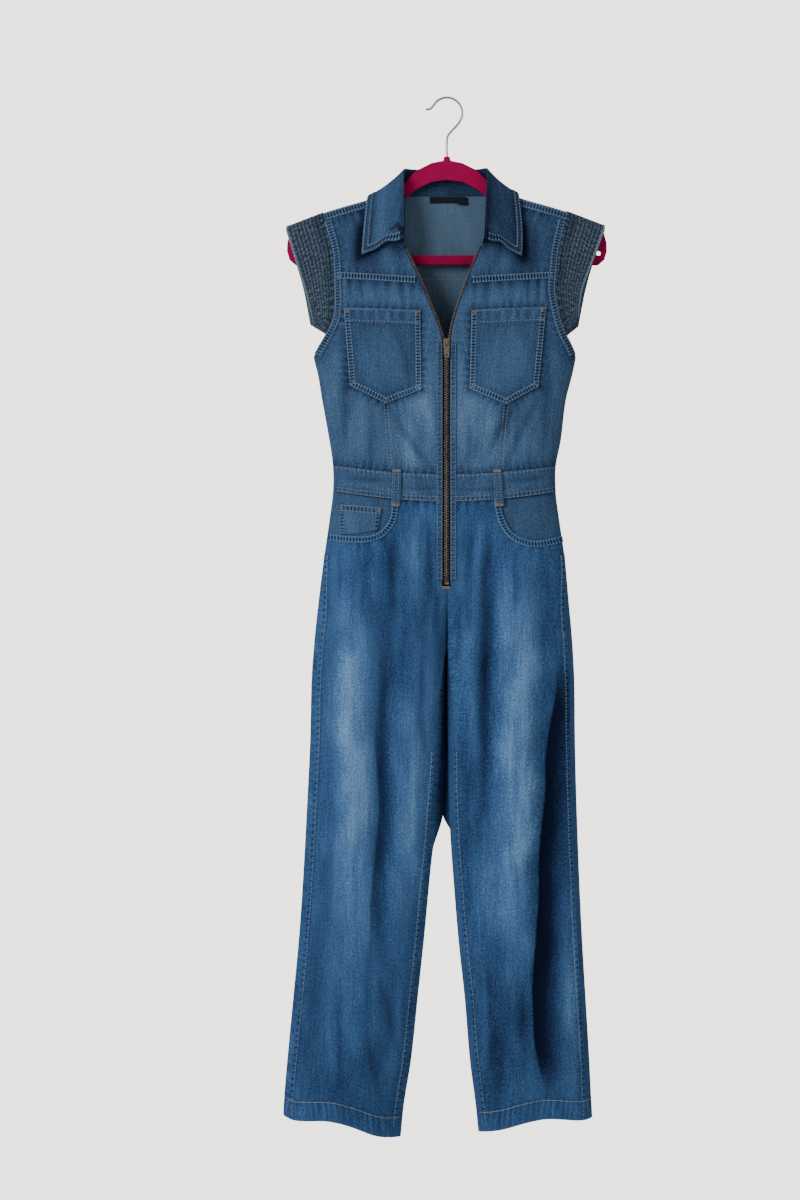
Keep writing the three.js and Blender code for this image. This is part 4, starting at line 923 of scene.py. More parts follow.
def back_yoke():
    cloth = Cloth("back_yoke_cloth")
    parts = ((YOKE_ENDS[True], -NECK_CORNER, False), (-NECK_CORNER, NECK_CORNER, True),
             (NECK_CORNER, YOKE_ENDS[False], False))
    for from_x, to_x, is_neck in parts:
        cloth.grid(int(abs(to_x - from_x) / 2.4), 62, back_yoke_place(from_x, to_x, is_neck),
                   BACKWARDS, washed_and_shaded(False, lift=-0.04))
    yoke = cloth.sewn(FACES, nodes=["back_yoke"])
    trims, thread = Cloth("back_yoke_bands"), Stitching("back_yoke_stitches")
    seam = [(-157, YOKE_BACK), (0, YOKE_BACK), (151, YOKE_BACK)]
    band(trims, seam, 4.6, front=False, seed=2.0, contrast=0.5)
    thread.rows(seam, (-3.0, 3.0), front=False, lift=2.0)
    for left, way in ((True, -1), (False, 1)):
        shift = 0 if left else -1
        line = [(way * x + shift, float(shoulder_top(x)) - 6.8) for x in np.linspace(77, 170, 9)]
        band(trims, line, 5.4, lift=0.8, high=0.45, seed=3.0 + way, contrast=0.52)
        thread.rows(line, (-3.45, 3.45), lift=1.8)
        hole = armhole_line(left, 4.2, -186, -360, 14)
        band(trims, hole, 4.6, period=5.2, front=False, left=left, seed=5.0 + way, contrast=0.5)
    trims, thread = trims.sewn([DENIM], thick=TRIM_THICK), thread.sewn()
    inner = Stitching("back_yoke_inner_stitches", TACK_THREAD)
    for z in (YOKE_BACK + 0.6, YOKE_BACK + 5.4):
        inner.row([(-150, z), (0, z), (145, z)], lift=-(CLOTH + 0.3), front=False, thick=1.0)
    inner = inner.sewn()


def closer_at_sides(u):
    """Even steps made smaller towards both sides, where a panel turns away."""
    return lerp(u, np.sin(np.pi * (u - 0.5)) / 2 + 0.5, 0.7)


def back_bodice():
    def place(u, v):
        z = lerp(WAIST_TOP[1], YOKE_BACK, v)
        x = lerp(outer_edge(True, z), outer_edge(False, z), closer_at_sides(u))
        return laid(x, z, 0, False) * [0, 1, 0] + np.stack([x, 0 * x, z], -1)

    cloth = Cloth("back_bodice_cloth").grid(118, 92, place, BACKWARDS, washed_and_shaded(False))
    piece = cloth.sewn(FACES, nodes=["back_bodice"])


back_yoke()
back_bodice()


# The fronts: a short yoke on each side and a bodice front below it, cut away in a slant towards
# the zip. Yoke and bodice are joined by a folded seam with two rows, and a dart takes in the waist.
# Lines along the collar fronts' lower edges, under which the yoke has painted shade.
UNDER_COLLAR = {
    True: [[(-105, -128), (-113, -143), (-118, -185), (-121, -222)],
           [(-121, -222), (-101, -214), (-86, -206), (-68, -212)]],
    False: [[(91, -124), (101, -143), (104, -185), (107, -226)],
            [(107, -226), (81, -213), (67, -203), (52, -206)]],
}


def front_yoke(left):
    name, way = side_of(left)
    neck_x = way * SHOULDER[0][0]
    neck_z = SHOULDER[0][1] - SHOULDER_SEAM
    tip_x = float(armhole[left](-173.0))
    tip_z = float(shoulder_top(tip_x)) - SHOULDER_SEAM
    in_x, out_x = float(front_edge[left](-262.0)), float(armhole[left](-253.0))
    seam = [(lerp(in_x, out_x, t), lerp(YOKE_ZIP, YOKE_ARMHOLE, t) + 3.2) for t in (0.06, 0.5, 0.97)]
    hole = armhole_line(left, 5.0, -172, -361, 16)
    lines = [seam, hole, [(neck_x, neck_z), (tip_x, tip_z)]]

    def place(u, v):
        z_in, z_out = lerp(YOKE_ZIP, neck_z, v), lerp(YOKE_ARMHOLE, tip_z, v)
        x = lerp(front_edge[left](z_in), armhole[left](z_out), u)
        top = shoulder_top(np.maximum(np.abs(x), abs(neck_x))) - SHOULDER_SEAM
        z = lerp(z_in, z_out, u) + (top - lerp(neck_z, tip_z, u)) * v ** 3
        y = cloth_y(x, z, True, left) - 0.4 * drawn_up(x, z, lines)
        return np.stack([x, y, z], -1)

    def shaded_wash(u, v, found):
        x, z = found[:, 0], found[:, 2]
        # Painted shade: darker beside the seams, under the collar's edge and deepest in its corner.
        beneath = hollow(x, z, UNDER_COLLAR[left], 9)
        corner = hollow(x, z, [UNDER_COLLAR[left][0][-2:]], 7)
        return (wash_and_shade(x, z) - 0.03 + 0.10 * drawn_up(x, z, lines) - 0.16 * hollow(x, z, lines, 8)
                - 0.22 * beneath - 0.30 * corner)

    cloth = Cloth(f"front_yoke_{name}_cloth").grid(46, 46, place, FRONTWARDS, shaded_wash)
    yoke = cloth.sewn(FACES, nodes=[f"front_yoke_{name}"])
    trims = Cloth(f"front_yoke_{name}_bands")
    band(trims, seam, 4.8, seed=7.0 + way, contrast=0.8)
    band(trims, hole, 5.2, lift=0.8, high=0.45, left=left, seed=9.0 + way, shade=-0.01, contrast=0.42)
    trims = trims.sewn([DENIM], thick=TRIM_THICK)
    thread = Stitching(f"front_yoke_{name}_stitches")
    thread.rows(seam, (-3.2, 3.2), lift=2.0)
    thread.rows(hole, (-3.2, 3.2), lift=1.8, left=left)
    thread = thread.sewn()


DART = {True: [(-85.5, -428), (-82, -476), (-79, -521)],
        False: [(82.5, -429), (78, -476), (75, -521)]}
POCKET = {  # top corners, bottom corners, tip
    True: ([(-144, -296.5), (-37, -300.5)], [(-135, -404.5), (-35.5, -410.5)], (-85.5, -430)),
    False: ([(33.5, -300), (138, -295.5)], [(31, -409), (127, -406)], (82.5, -431)),
}


def front_bodice(left):
    name, way = side_of(left)
    (top_in, top_out), (foot_in, foot_out), tip = POCKET[left]
    under_yoke = [(float(front_edge[left](YOKE_ZIP)), YOKE_ZIP - 2.0),
                  (float(armhole[left](YOKE_ARMHOLE)), YOKE_ARMHOLE - 2.0)]
    over_waist = waist_line(WAIST_TOP, 5 * way, 156 * way, 6)
    hole = armhole_line(left, 6.0, -262, -361, 8)
    patch = [top_in, foot_in, tip, foot_out, top_out, top_in]

    def drawn(x, z, by_yoke):
        return (by_yoke * drawn_up(x, z, [under_yoke], 26, 17)
                + drawn_up(x, z, [over_waist, patch, hole], 12))

    def place(u, v):
        z_in, z_out = lerp(WAIST_TOP[0], YOKE_ZIP, v), lerp(WAIST_TOP[1], YOKE_ARMHOLE, v)
        across = lerp(u, 1 - (1 - u) ** 2, 0.55)
        x = lerp(front_edge[left](z_in), outer_edge(left, z_out), across)
        bow = waist_seam(WAIST_TOP, x) - lerp(WAIST_TOP[0], WAIST_TOP[1], across)
        z = lerp(z_in, z_out, across) + bow * (1 - v) ** 2
        dart = curve([p[1] for p in DART[left]], [p[0] for p in DART[left]])
        sunk = bell(x - dart(z), 2.2) * smooth((-424 - z) / 12)
        y = cloth_y(x, z, True, left) + 0.9 * sunk - 0.45 * drawn(x, z, 1.0)
        return np.stack([x, y, z], -1)

    def shaded_wash(u, v, found):
        x, z = found[:, 0], found[:, 2]
        # Painted shade beside the pocket's raised edges and below the yoke, waist and armhole seams.
        dark = np.maximum(hollow(x, z, [patch], 6), hollow(x, z, [under_yoke, over_waist, hole], 9))
        return wash_and_shade(x, z) + 0.10 * drawn(x, z, 1.2) - 0.22 * dark + 0.05

    cloth = Cloth(f"front_bodice_{name}_cloth").grid(96, 140, place, FRONTWARDS, shaded_wash)
    piece = cloth.sewn(FACES, nodes=[f"front_bodice_{name}"])
    thread = Stitching(f"dart_{name}_stitches")
    thread.rows(DART[left], (-2.6, 2.6), lift=0.3)
    thread = thread.sewn()


for is_left in (True, False):
    front_yoke(is_left)
    front_bodice(is_left)


# Chest pockets: five-sided patches of the same denim with the edges turned in, a deep hem along
# the open top, two rows of stitching round the sides and tip, and a bar tack at each top corner.
POCKET_LIFT, POCKET_WIDE, POCKET_HIGH = 2.0, 105, 110
POCKET_EDGE = 1.3  # how far the turned-in edge stands off the front, at the very rim
POCKET_HEM = 17.5


def pocket_rim(u, v):
    """How far each place is from the sides and the foot."""
    return np.minimum(np.minimum(u, 1 - u) * POCKET_WIDE, np.minimum(v, 1.2 - v) * POCKET_HIGH)


def chest_pocket(left):
    name = side_of(left)[0]
    (top_in, top_out), (foot_in, foot_out), tip = POCKET[left]

    def across_top(inset, drop):
        """A line that crosses the pocket below its top edge."""
        x, z = halfway(top_in, top_out)
        return [(top_in[0] + inset, top_in[1] - drop), (x, z - drop),
                (top_out[0] - inset, top_out[1] - drop)]

    def place(u, v):
        foot_z = np.where(u < 0.5, lerp(foot_in[1], tip[1], u * 2),
                          lerp(tip[1], foot_out[1], u * 2 - 1))
        foot_x = lerp(foot_in[0], foot_out[0], u)
        top_x, top_z = lerp(top_in[0], top_out[0], u), lerp(top_in[1], top_out[1], u)
        x, z = lerp(foot_x, top_x, v), lerp(foot_z, top_z, v)
        lift = POCKET_EDGE + (POCKET_LIFT - POCKET_EDGE) * smooth(pocket_rim(u, v) / 14)
        return laid(x, z, lift, True, left)

    def fade(u, v, found):
        middle = bell(u - 0.5, 0.34) * bell(v - 0.42, 0.36)
        # Painted light and shade: the hem's soft folds, a shade just below the hem and a shade just
        # inside the stitched rim.
        turned = smooth((v - 0.86) / 0.02)
        folds = turned * (0.08 * pucker(u * POCKET_WIDE, 0, 14, 5.0) + 0.02)
        under = bell(v - 0.83, 0.03)
        inner = bell(pocket_rim(u, v) - 10, 4)
        return (wash_and_shade(found[:, 0], found[:, 2]) - (0.05 if left else 0.02) + 0.10 * middle + folds
                - 0.06 * under - 0.07 * inner)

    cloth = Cloth(f"chest_pocket_{name}_cloth").grid(56, 62, place, FRONTWARDS, fade)
    piece = cloth.sewn(FACES, nodes=[f"chest_pocket_{name}"], thick=1.0)
    trims, thread = Cloth(f"chest_pocket_{name}_bands"), Stitching(f"chest_pocket_{name}_stitches")
    loop = [(top_in, foot_in), (foot_in, tip), (tip, foot_out), (foot_out, top_out)]
    for number, (start, end) in enumerate(loop):
        line = beside([start, halfway(start, end), end], 4.2)
        band(trims, line, 4.2, lift=POCKET_LIFT - 0.4, high=0.45, left=left,
             seed=11.0 + number, contrast=0.54, shade=0.02)
        thread.rows(line, (-2.8, 2.6), lift=POCKET_LIFT + 0.9, left=left)
    hem = across_top(2, POCKET_HEM)
    band(trims, hem, 2.2, lift=POCKET_LIFT - 0.2, high=0.35, period=5.8, left=left, seed=21.0)
    band(trims, across_top(0, 1.2), 1.6, lift=POCKET_LIFT - 0.1, high=0.25, period=7.0, left=left,
         seed=22.0, contrast=0.1, shade=0.12)
    thread.row(hem, lift=POCKET_LIFT + 0.6, left=left)
    trims, thread = trims.sewn([DENIM], thick=TRIM_THICK), thread.sewn()
    tacks = Stitching(f"chest_pocket_{name}_tacks", TACK_THREAD)
    for x, z in ((top_in[0] + 5, top_in[1] - 4), (top_out[0] - 6, top_out[1] - 4)):
        tacks.tack(x, z, math.pi / 2, lift=POCKET_LIFT + 1.1, long=5.0, wide=1.9)
    tacks = tacks.sewn()


for is_left in (True, False):
    chest_pocket(is_left)


# The waistband: a doubled straight strip between bodice and legs, in two fronts and a back, with
# tan stitching along both edges, twice along the lower one. It draws up the cloth beside it.
BAND_PROUD, BAND_HIGH = 0.8, 38
CLOSED_EDGE = {True: -6.2, False: 4.2}
BAND_ROWS = ((WAIST_TOP, -2.6), (WAIST_FOOT, 6.4), (WAIST_FOOT, 0.8))
WRINKLES = [  # from and to across, from and to up the band, depth
    (-154, -66, 0.58, 0.68, -0.6), (-62, -10, 0.42, 0.50, -0.5), (-132, -24, 0.34, 0.26, 0.4),
    (-148, -90, 0.36, 0.44, 0.4), (8, 96, 0.44, 0.34, -0.5), (58, 148, 0.66, 0.60, -0.5),
    (22, 132, 0.24, 0.32, 0.4), (84, 148, 0.40, 0.46, 0.4)]


def wrinkled(x, v):
    total = np.zeros(np.shape(x))
    for x0, x1, v0, v1, high in WRINKLES:
        t = np.clip((x - x0) / (x1 - x0), 0, 1)
        total += high * bell(v - lerp(v0, v1, t), 0.07) * np.sin(np.pi * t)
    return total


def waistband(front, left=True):
    name = "front_" + side_of(left)[0] if front else "back"
    side = left if front else None

    def at_edges(v, reach):
        return bell(v * BAND_HIGH, reach) + bell((1 - v) * BAND_HIGH, reach)

    def place(u, v):
        middle = lerp(WAIST_FOOT[1], WAIST_TOP[1], v)
        if front:
            x = lerp(CLOSED_EDGE[left], outline[left](middle), lerp(u, 1 - (1 - u) ** 2, 0.6))
        else:
            x = lerp(outline[True](middle), outline[False](middle), closer_at_sides(u))
        z = lerp(waist_seam(WAIST_FOOT, x, front), waist_seam(WAIST_TOP, x, front), v)
        drawn = 0.4 * pucker(x, 4 * v, 6.4, 31.0) * at_edges(v, 6)
        found = laid(x, z, BAND_PROUD + drawn + 0.6 * wrinkled(x, v), front, side)
        found[:, 0] = x
        return found

    def wear(u, v, found):
        x, off = found[:, 0], (v * BAND_HIGH - 3.4) / 3.0
        bars = ladder(x, off, 6.0, 33.0) * np.exp(-off ** 4)
        return (0.12 * pucker(x, 4 * v, 6.4, 31.0) * at_edges(v, 7) + 0.12 * at_edges(v, 1.5)
                + 0.16 * bars + 0.16 * wrinkled(x, v))

    cloth = Cloth(f"waistband_{name}_cloth").grid(
        170 if front else 220, 30, place, facing(front), washed_and_shaded(front, 0.6), wear)
    piece = cloth.sewn(FACES, nodes=[f"waistband_{name}"], thick=1.8)
    thread = Stitching(f"waistband_{name}_stitches", TAN_THREAD)
    ends = {"front_left": (-9, -156), "front_right": (7, 149), "back": (-150, 144)}
    xs = np.linspace(*ends[name], 12)
    for seam, off in BAND_ROWS:
        line = np.stack([xs, waist_seam(seam, xs, front) + off], -1)
        thread.row(line, lift=BAND_PROUD + 0.35, front=front, left=side)
    thread = thread.sewn()


waistband(True, True)
waistband(True, False)
waistband(False)


# The legs: a front and a back panel each, wide and straight. The back panel comes a little way
# round to the front at both seams, the front pockets are cut out of the front panels, and each
# hem is turned up and held by one row of stitching. A felled seam joins the two backs.
WRAP = 9
LEG_LONG, HEM_WIDE = 680, 190
CROTCH_SHARE = 0.77
HEM_HIGH = 28
ZIP_X, ZIP_HALF, ZIP_FOOT = -1.0, 5.2, -684.0
MOUTH = {
    True: [(-74, -556), (-77, -574), (-79, -588), (-84, -598), (-92, -607), (-102, -612.5),
           (-115, -615), (-141, -614.5), (-164, -611.5)],
    False: [(74, -556), (75, -574), (80, -592), (87, -605), (97, -614), (113, -620.5),
            (131, -621), (161, -614)],
}
SIDE_TACK = {True: (-171.5, -745), False: (162.5, -752)}  # where the pocket bag is caught


def side_wrap(z):
    return WRAP * smooth((-620 - z) / 120)


def inner_wrap(z):
    return WRAP * smooth((CROTCH - z) / 110)


def seam_angles(left, z):
    half = np.abs(outline[left](z) - inside(left, z)) / 2
    return np.arccos(1 - side_wrap(z) / half), np.pi - np.arccos(1 - inner_wrap(z) / half)


def meeting(z):
    """How far the two leg backs are drawn together, at heights below the fork."""
    return smooth((-722 - z) / 8) * smooth((z + 1078) / 84)


def leg_place(left, share, v, front, lift=0.0):
    def angle_at(z):
        at_side, at_inner = seam_angles(left, z)
        if front:
            return lerp(at_side, at_inner, share)
        return lerp(at_side, at_inner - 2 * np.pi, share)

    def height(hem, waist):
        return np.where(v < CROTCH_SHARE, lerp(hem, CROTCH, v / CROTCH_SHARE),
                        lerp(CROTCH, waist, (v - CROTCH_SHARE) / (1 - CROTCH_SHARE)))

    def x_of(angle, z):
        outer, inner = outline[left](z), inside(left, z)
        return (outer + inner) / 2 + (outer - inner) / 2 * np.cos(angle)

    angle = angle_at(height(-1440.0, WAIST_FOOT[1]))
    hem = hem_edge[left]((1 - np.cos(angle)) / 2)
    waist = waist_seam(WAIST_FOOT, x_of(angle, height(hem, WAIST_FOOT[1])), front)
    z = height(hem, waist)
    x = x_of(angle, z)
    ahead = np.full(x.shape, True) if front else (angle > 0) | (angle < -np.pi)
    y = np.where(ahead, cloth_y(x, z, True, left), cloth_y(x, z, False, left))
    way = np.where(ahead, -1.0, 1.0)
    if not front:
        # below the fork the two back panels fall together behind the gap between the fronts
        between = (inside(True, z) + inside(False, z)) / 2 + (1.8 if left else -1.8)
        tuck = 0.36 if left else 0.80
        x = lerp(x, between, meeting(z) * bell(angle + np.pi - tuck, 0.24))
    return np.stack([x, y + way * lift, z], -1)


def in_polygon(points, corners):
    x, z = points[:, 0], points[:, 2]
    hit = np.zeros(len(points), bool)
    for (x0, z0), (x1, z1) in zip(corners, corners[1:] + corners[:1]):
        crosses = (z0 > z) != (z1 > z)
        with np.errstate(divide="ignore", invalid="ignore"):
            at = x0 + (z - z0) * (x1 - x0) / (z1 - z0)
        hit ^= crosses & (x < at)
    return hit


def leg_front(left):
    name, way = side_of(left)
    zs = np.linspace(-640, -1424, 40)
    side_seam = np.stack([outline[left](zs) - way * (side_wrap(zs) + 2.6), zs], -1)
    zs = np.linspace(-915, -1440, 33)
    inner_seam = np.stack([inside(left, zs) + way * (inner_wrap(zs) + 1.6), zs], -1)
    rims = [waist_line(WAIST_FOOT, 8 * way, 76 * way, 5), MOUTH[left]]
    seams = [side_seam[::4], inner_seam[::4]]

    def drawn(x, z, by_rims, by_seams):
        return by_rims * drawn_up(x, z, rims, 20, 13) + by_seams * drawn_up(x, z, seams, 8, 8.6)

    def place(u, v):
        points = leg_place(left, u, v, True)
        points[:, 1] -= drawn(points[:, 0], points[:, 2], 0.5, 0.25)
        return points

    def shaded_wash(u, v, found):
        x, z = found[:, 0], found[:, 2]
        # Painted shade below the waist seam and the pocket mouth, and a little beside the leg seams.
        return (wash_and_shade(x, z) + drawn(x, z, 0.10, 0.07) - 0.16 * hollow(x, z, rims, 9)
                - 0.05 * hollow(x, z, seams, 9))

    cloth = Cloth(f"leg_front_{name}_cloth").grid(
        112, 430, place, FRONTWARDS, shaded_wash, even_grain=True)
    mouth = MOUTH[left] + [(way * 200, -606), (way * 200, -540), (way * 74, -540)]

    def remove(points):
        slit = (np.abs(points[:, 0] - ZIP_X) < ZIP_HALF + 0.4) & (points[:, 2] > ZIP_FOOT)
        return slit | in_polygon(points, mouth)

    piece = cloth.sewn(LEG_FACES, nodes=[f"leg_front_{name}"], remove=remove)
    trims = Cloth(f"leg_front_{name}_bands")
    thread = Stitching(f"leg_front_{name}_stitches")
    # the pocket's mouth
    line = [p for p in beside(MOUTH[left], -4.2 * way) if p[1] < -561]
    band(trims, line, 4.6, lift=0.9, high=0.4, left=left, seed=41.0, contrast=0.5, rim=0.22)
    thread.rows(line, (-2.8, 2.9), lift=1.9, left=left)
    # the seams down the leg, where the back panel comes round
    for line, half, off, seed in ((side_seam, 3.4, -2.0, 43.0), (inner_seam, 3.0, 1.6, 45.0)):
        band(trims, line, half, lift=0.5, period=8.6, left=left, seed=seed + way, rim=0.08)
        thread.row(beside(line, off * way), lift=1.1, left=left)
    trims, thread = trims.sewn([LEG_DENIM], thick=TRIM_THICK), thread.sewn()
    tack = Stitching(f"leg_front_{name}_tack", TACK_THREAD)
    tack.tack(*SIDE_TACK[left], math.pi / 2, lift=1.2, long=5.0, wide=1.6)
    tack = tack.sewn()
    hem_trim, hem_thread = hem(left, True)


def hem(left, front):
    name = side_of(left)[0] + ("_front" if front else "_back")
    share_high = CROTCH_SHARE * HEM_HIGH / LEG_LONG

    def place(u, v):
        roll = 0.5 * (1 - (2 * v - 1) ** 6)
        rope = pucker(u * HEM_WIDE, 5 * v, 9.4, 51.0) * (0.30 + 0.5 * v ** 2)
        return leg_place(left, u, v * share_high * 1.06, front, 0.7 + roll + 0.5 * rope)

    def wear(u, v, found):
        edge = bell(v * HEM_HIGH, 1.8)
        slant = 0.6 * np.sin(u * 19) + 0.5 * np.sin(u * 47 + 1)
        rope = pucker(u * HEM_WIDE, 5 * v + slant, 9.4, 51.0)
        return 0.075 * rope * (0.4 + v) + 0.10 * edge - 0.05 * v ** 3

    cloth = Cloth(f"hem_{name}").grid(
        150, 18, place, facing(front), washed_and_shaded(front, 0.6), wear)
    band_piece = cloth.sewn([LEG_DENIM], thick=0.9)
    thread = Stitching(f"hem_{name}_stitches", THREAD)
    steps = np.linspace(0.012, 0.988, 52)
    up = np.full(steps.shape, share_high * 0.97)
    low, high = (leg_place(left, steps, up, front, lift) for lift in (1.6, 2.6))
    thread.place(low, high - low, 3.7, 0.9)
    return band_piece, thread.sewn()


def seat_seam():
    """The felled seam that joins the two leg backs, from the waistband down to the fork."""
    line = [(float(inside(True, z)), z) for z in (WAIST_FOOT[1] - 2, -620, -680, -705, -742)]
    trims = band(Cloth("seat_seam_band"), line, 3.4, lift=0.5, high=0.25, period=5.0, front=False,
                 seed=71.0, contrast=0.3).sewn([LEG_DENIM], thick=TRIM_THICK)
    thread = Stitching("seat_seam_stitches", THREAD)
    thread.rows(line, (-2.0, 2.0), front=False, lift=1.4)
    return [trims, thread.sewn()]


def leg_back(left):
    name = side_of(left)[0]

    def place(u, v):
        return leg_place(left, u, v, False)

    def shaded_wash(u, v, found):
        x, z = found[:, 0], found[:, 2]
        # Painted shade in the narrow slit where the two backs meet behind the fronts.
        tucked = meeting(z) * bell(x - (inside(True, z) + inside(False, z)) / 2, 7)
        return wash_and_shade(x, z, False) - 0.3 * tucked

    cloth = Cloth(f"leg_back_{name}_cloth").grid(
        100, 300, place, BACKWARDS, shaded_wash, even_grain=True)
    piece = cloth.sewn(LEG_FACES, nodes=[f"leg_back_{name}"])
    trims = list(hem(left, False)) + (seat_seam() if left else [])


for is_left in (True, False):
    leg_front(is_left)
    leg_back(is_left)


# The front pockets: a facing of the same denim shows in each mouth, and the left one carries a
# small coin pocket with a hem along its top.
def pocket_facing(left):
    name = side_of(left)[0]

    def place(u, v):
        return leg_place(left, 0.62 * u, lerp(CROTCH_SHARE + 0.13, 1.0, v), True, -2.6)

    cloth = Cloth(f"pocket_facing_{name}_cloth").grid(54, 40, place, FRONTWARDS, washed_and_shaded(share=0.5))
    piece = cloth.sewn(FACES, nodes=[f"pocket_facing_{name}"])


def coin_pocket():
    def place(u, v):
        x = lerp(lerp(-150, -151, v), lerp(-96, -91, v), u)
        foot = lerp(-612, -606, u ** 2)
        return laid(x, lerp(foot, lerp(-569.5, -574.5, u), v), -1.2, True, True)

    fade = washed_and_shaded(share=0.5, lift=0.05)
    piece = Cloth("coin_pocket_cloth").grid(30, 24, place, FRONTWARDS, fade).sewn(
        FACES, nodes=["coin_pocket"], thick=1.0)
    trims = Cloth("coin_pocket_bands")
    top = [(-150, -574.5), (-120, -577), (-92, -579.5)]
    band(trims, top, 5.0, lift=-0.9, high=0.3, period=5.4, left=True, seed=61.0, contrast=0.42,
         shade=0.04)
    for start, end in (((-147.5, -580), (-147, -608)), ((-97, -584), (-99, -606))):
        band(trims, [start, halfway(start, end), end], 2.8, lift=-0.9, high=0.4, period=5.0,
             left=True, seed=63.0, contrast=0.5)
    trims = trims.sewn([DENIM], thick=0.5)
    thread = Stitching("coin_pocket_stitches", TAN_THREAD)
    thread.rows(top, (-3.6, 3.6), lift=0.0, left=True)
    thread = thread.sewn()
    tacks = Stitching("coin_pocket_tacks", TACK_THREAD)
    tacks.tack(-147, -575, 0.0, lift=0.2, long=4.0, wide=1.8)
    tacks.tack(-95, -579, 0.0, lift=0.2, long=4.0, wide=1.8)
    tacks = tacks.sewn()


pocket_facing(True)
pocket_facing(False)
coin_pocket()


# Belt loops: narrow folded strips, bar tacked at both ends, that stand off the waistband between.
LOOPS = [("front_left", -70.0, -1.5, True), ("front_right", 69.5, 3.5, True),
         ("back_left", -84.0, 0.0, False), ("back_middle", 0.0, 0.0, False),
         ("back_right", 80.0, 0.0, False)]
LOOP_HALF, LOOP_ARCH = 6.3, 2.0


def belt_loop(name, x, lean, front):
    top = float(waist_seam(WAIST_TOP, np.float64(x), front)) + 4
    foot = float(waist_seam(WAIST_FOOT, np.float64(x), front)) - 10

    def arch(v):
        return BAND_PROUD + LOOP_ARCH * np.sin(np.pi * v) ** 0.7

    def place(u, v):
        px = x + lerp(lean, 0, v) + lerp(-LOOP_HALF, LOOP_HALF, u)
        off = np.abs(2 * u - 1)
        ridge = 0.35 * bell(off - 0.62, 0.16)
        lift = 1.3 + arch(v) + ridge - 0.3 * off ** 6
        return laid(px, lerp(foot, top, v), lift, front)

    def wear(u, v, found):
        off = np.abs(2 * u - 1)
        rows = np.exp(-((off - 0.55) / 0.26) ** 4) * ladder(found[:, 2], (off - 0.55) / 0.4, 3.6, 71.0)
        return 0.16 * bell(off - 1, 0.14) + 0.34 * rows - 0.03

    cloth = Cloth(f"belt_loop_{name}_cloth").grid(
        16, 60, place, facing(front), washed_and_shaded(front, 0.3, 0.05), wear)
    piece = cloth.sewn(FACES, nodes=[f"belt_loop_{name}"], thick=1.3)
    thread = Stitching(f"belt_loop_{name}_stitches", THREAD)
    zs = np.linspace(foot + 2, top - 2, 12)
    share = (zs - foot) / (top - foot)
    lift = 1.75 + arch(share)
    for off in (-0.45, 0.45):
        px = x + lerp(lean, 0, share) + off * LOOP_HALF
        thread.place(*standing(px, zs, lift, front), 3.0, 0.65)
    thread = thread.sewn()
    tacks = Stitching(f"belt_loop_{name}_tacks", TAN_THREAD)
    for tack_x, z in ((x + lean, foot + 2.0), (x, top - 1.6)):
        tacks.tack(tack_x, z, 0.0, lift=3.1, long=11, wide=1.5, front=front)
    tacks = tacks.sewn()


for loop in LOOPS:
    belt_loop(*loop)


# Cap sleeves: a band of darker denim quilted in close channels, folded over the hanger's end.
# It hangs open below and at the edge, which is bound with a narrow pale strip.
SLEEVE = {  # the seam's heights; the free edge in front, then behind: across, and heights
    True: ([-215, -268, -331], [-225, -208, -196.5, -186], [-240, -276, -319],
           [-225, -211, -201, -192], [-232, -268, -316]),
    False: ([-215, -268, -334], [221, 203, 189, 183.5], [-232, -270, -308],
            [221, 206, 195, 185.5], [-228, -268, -318]),
}
SLEEVE_WIDE, SLEEVE_LONG = 46, 330.0
CHANNELS = 10
FOLDED = 0.14  # share of the way from the top to a corner that lies on the fold


def four(first, rest, share):
    """Four given values read along a smooth line; the first may differ from place to place."""
    base = curve([0, 1 / 3, 2 / 3, 1], [0, *rest])(share)
    lead = curve([0, 1 / 3, 2 / 3, 1], [1, 0, 0, 0])(share)
    return base + lead * first


def sleeve_place(left, lift_rule):
    seam_z, front_x, front_z, back_x, back_z = SLEEVE[left]
    way = side_of(left)[1]

    def top_of(x):
        return shoulder_top(x) - SHOULDER_ROUND

    def place(u, v):
        down = np.abs(2 * v - 1)
        ahead = v < 0.5
        flap = np.maximum(0, (down - FOLDED) / (1 - FOLDED))
        seam_height = four(top_of(ARMHOLE[0, 1 if left else 2]), seam_z, flap)
        seam_x = armhole[left](seam_height) + way * 0.3
        edge_x = np.where(ahead, four(front_x[0], front_x[1:], flap),
                          four(back_x[0], back_x[1:], flap))
        start = top_of(np.float64(front_x[0]))
        edge_z = np.where(ahead, four(start, front_z, flap), four(start, back_z, flap))
        x = lerp(seam_x, edge_x, u)
        bow = top_of(x) - lerp(top_of(seam_x), top_of(edge_x), u)
        z = lerp(seam_height, edge_z, u) + bow * (1 - flap) ** 2
        bend = (np.pi / 2) * (1 - np.minimum(down / FOLDED, 1))
        at_seam = np.where(ahead, np.abs(cloth_y(seam_x, seam_height, True, left)),
                           np.abs(cloth_y(seam_x, seam_height, False, left)))
        swing = 1 - np.exp(-np.maximum(0, top_of(x) - z) / 60)
        at_edge = lerp(SHOULDER_ROUND, np.where(ahead, 21.0, 15.0), swing)
        hung = lerp(at_seam, at_edge, smooth(u * 1.2))
        lift = lift_rule(u, v)
        on_fold = flap <= 0
        out = np.where(on_fold, (SHOULDER_ROUND + lift) * np.cos(bend), hung + lift)
        rise = np.where(on_fold, (SHOULDER_ROUND + lift) * np.sin(bend), 0.0)
        return np.stack([x, np.where(ahead, -out, out), z + rise], -1)
    return place


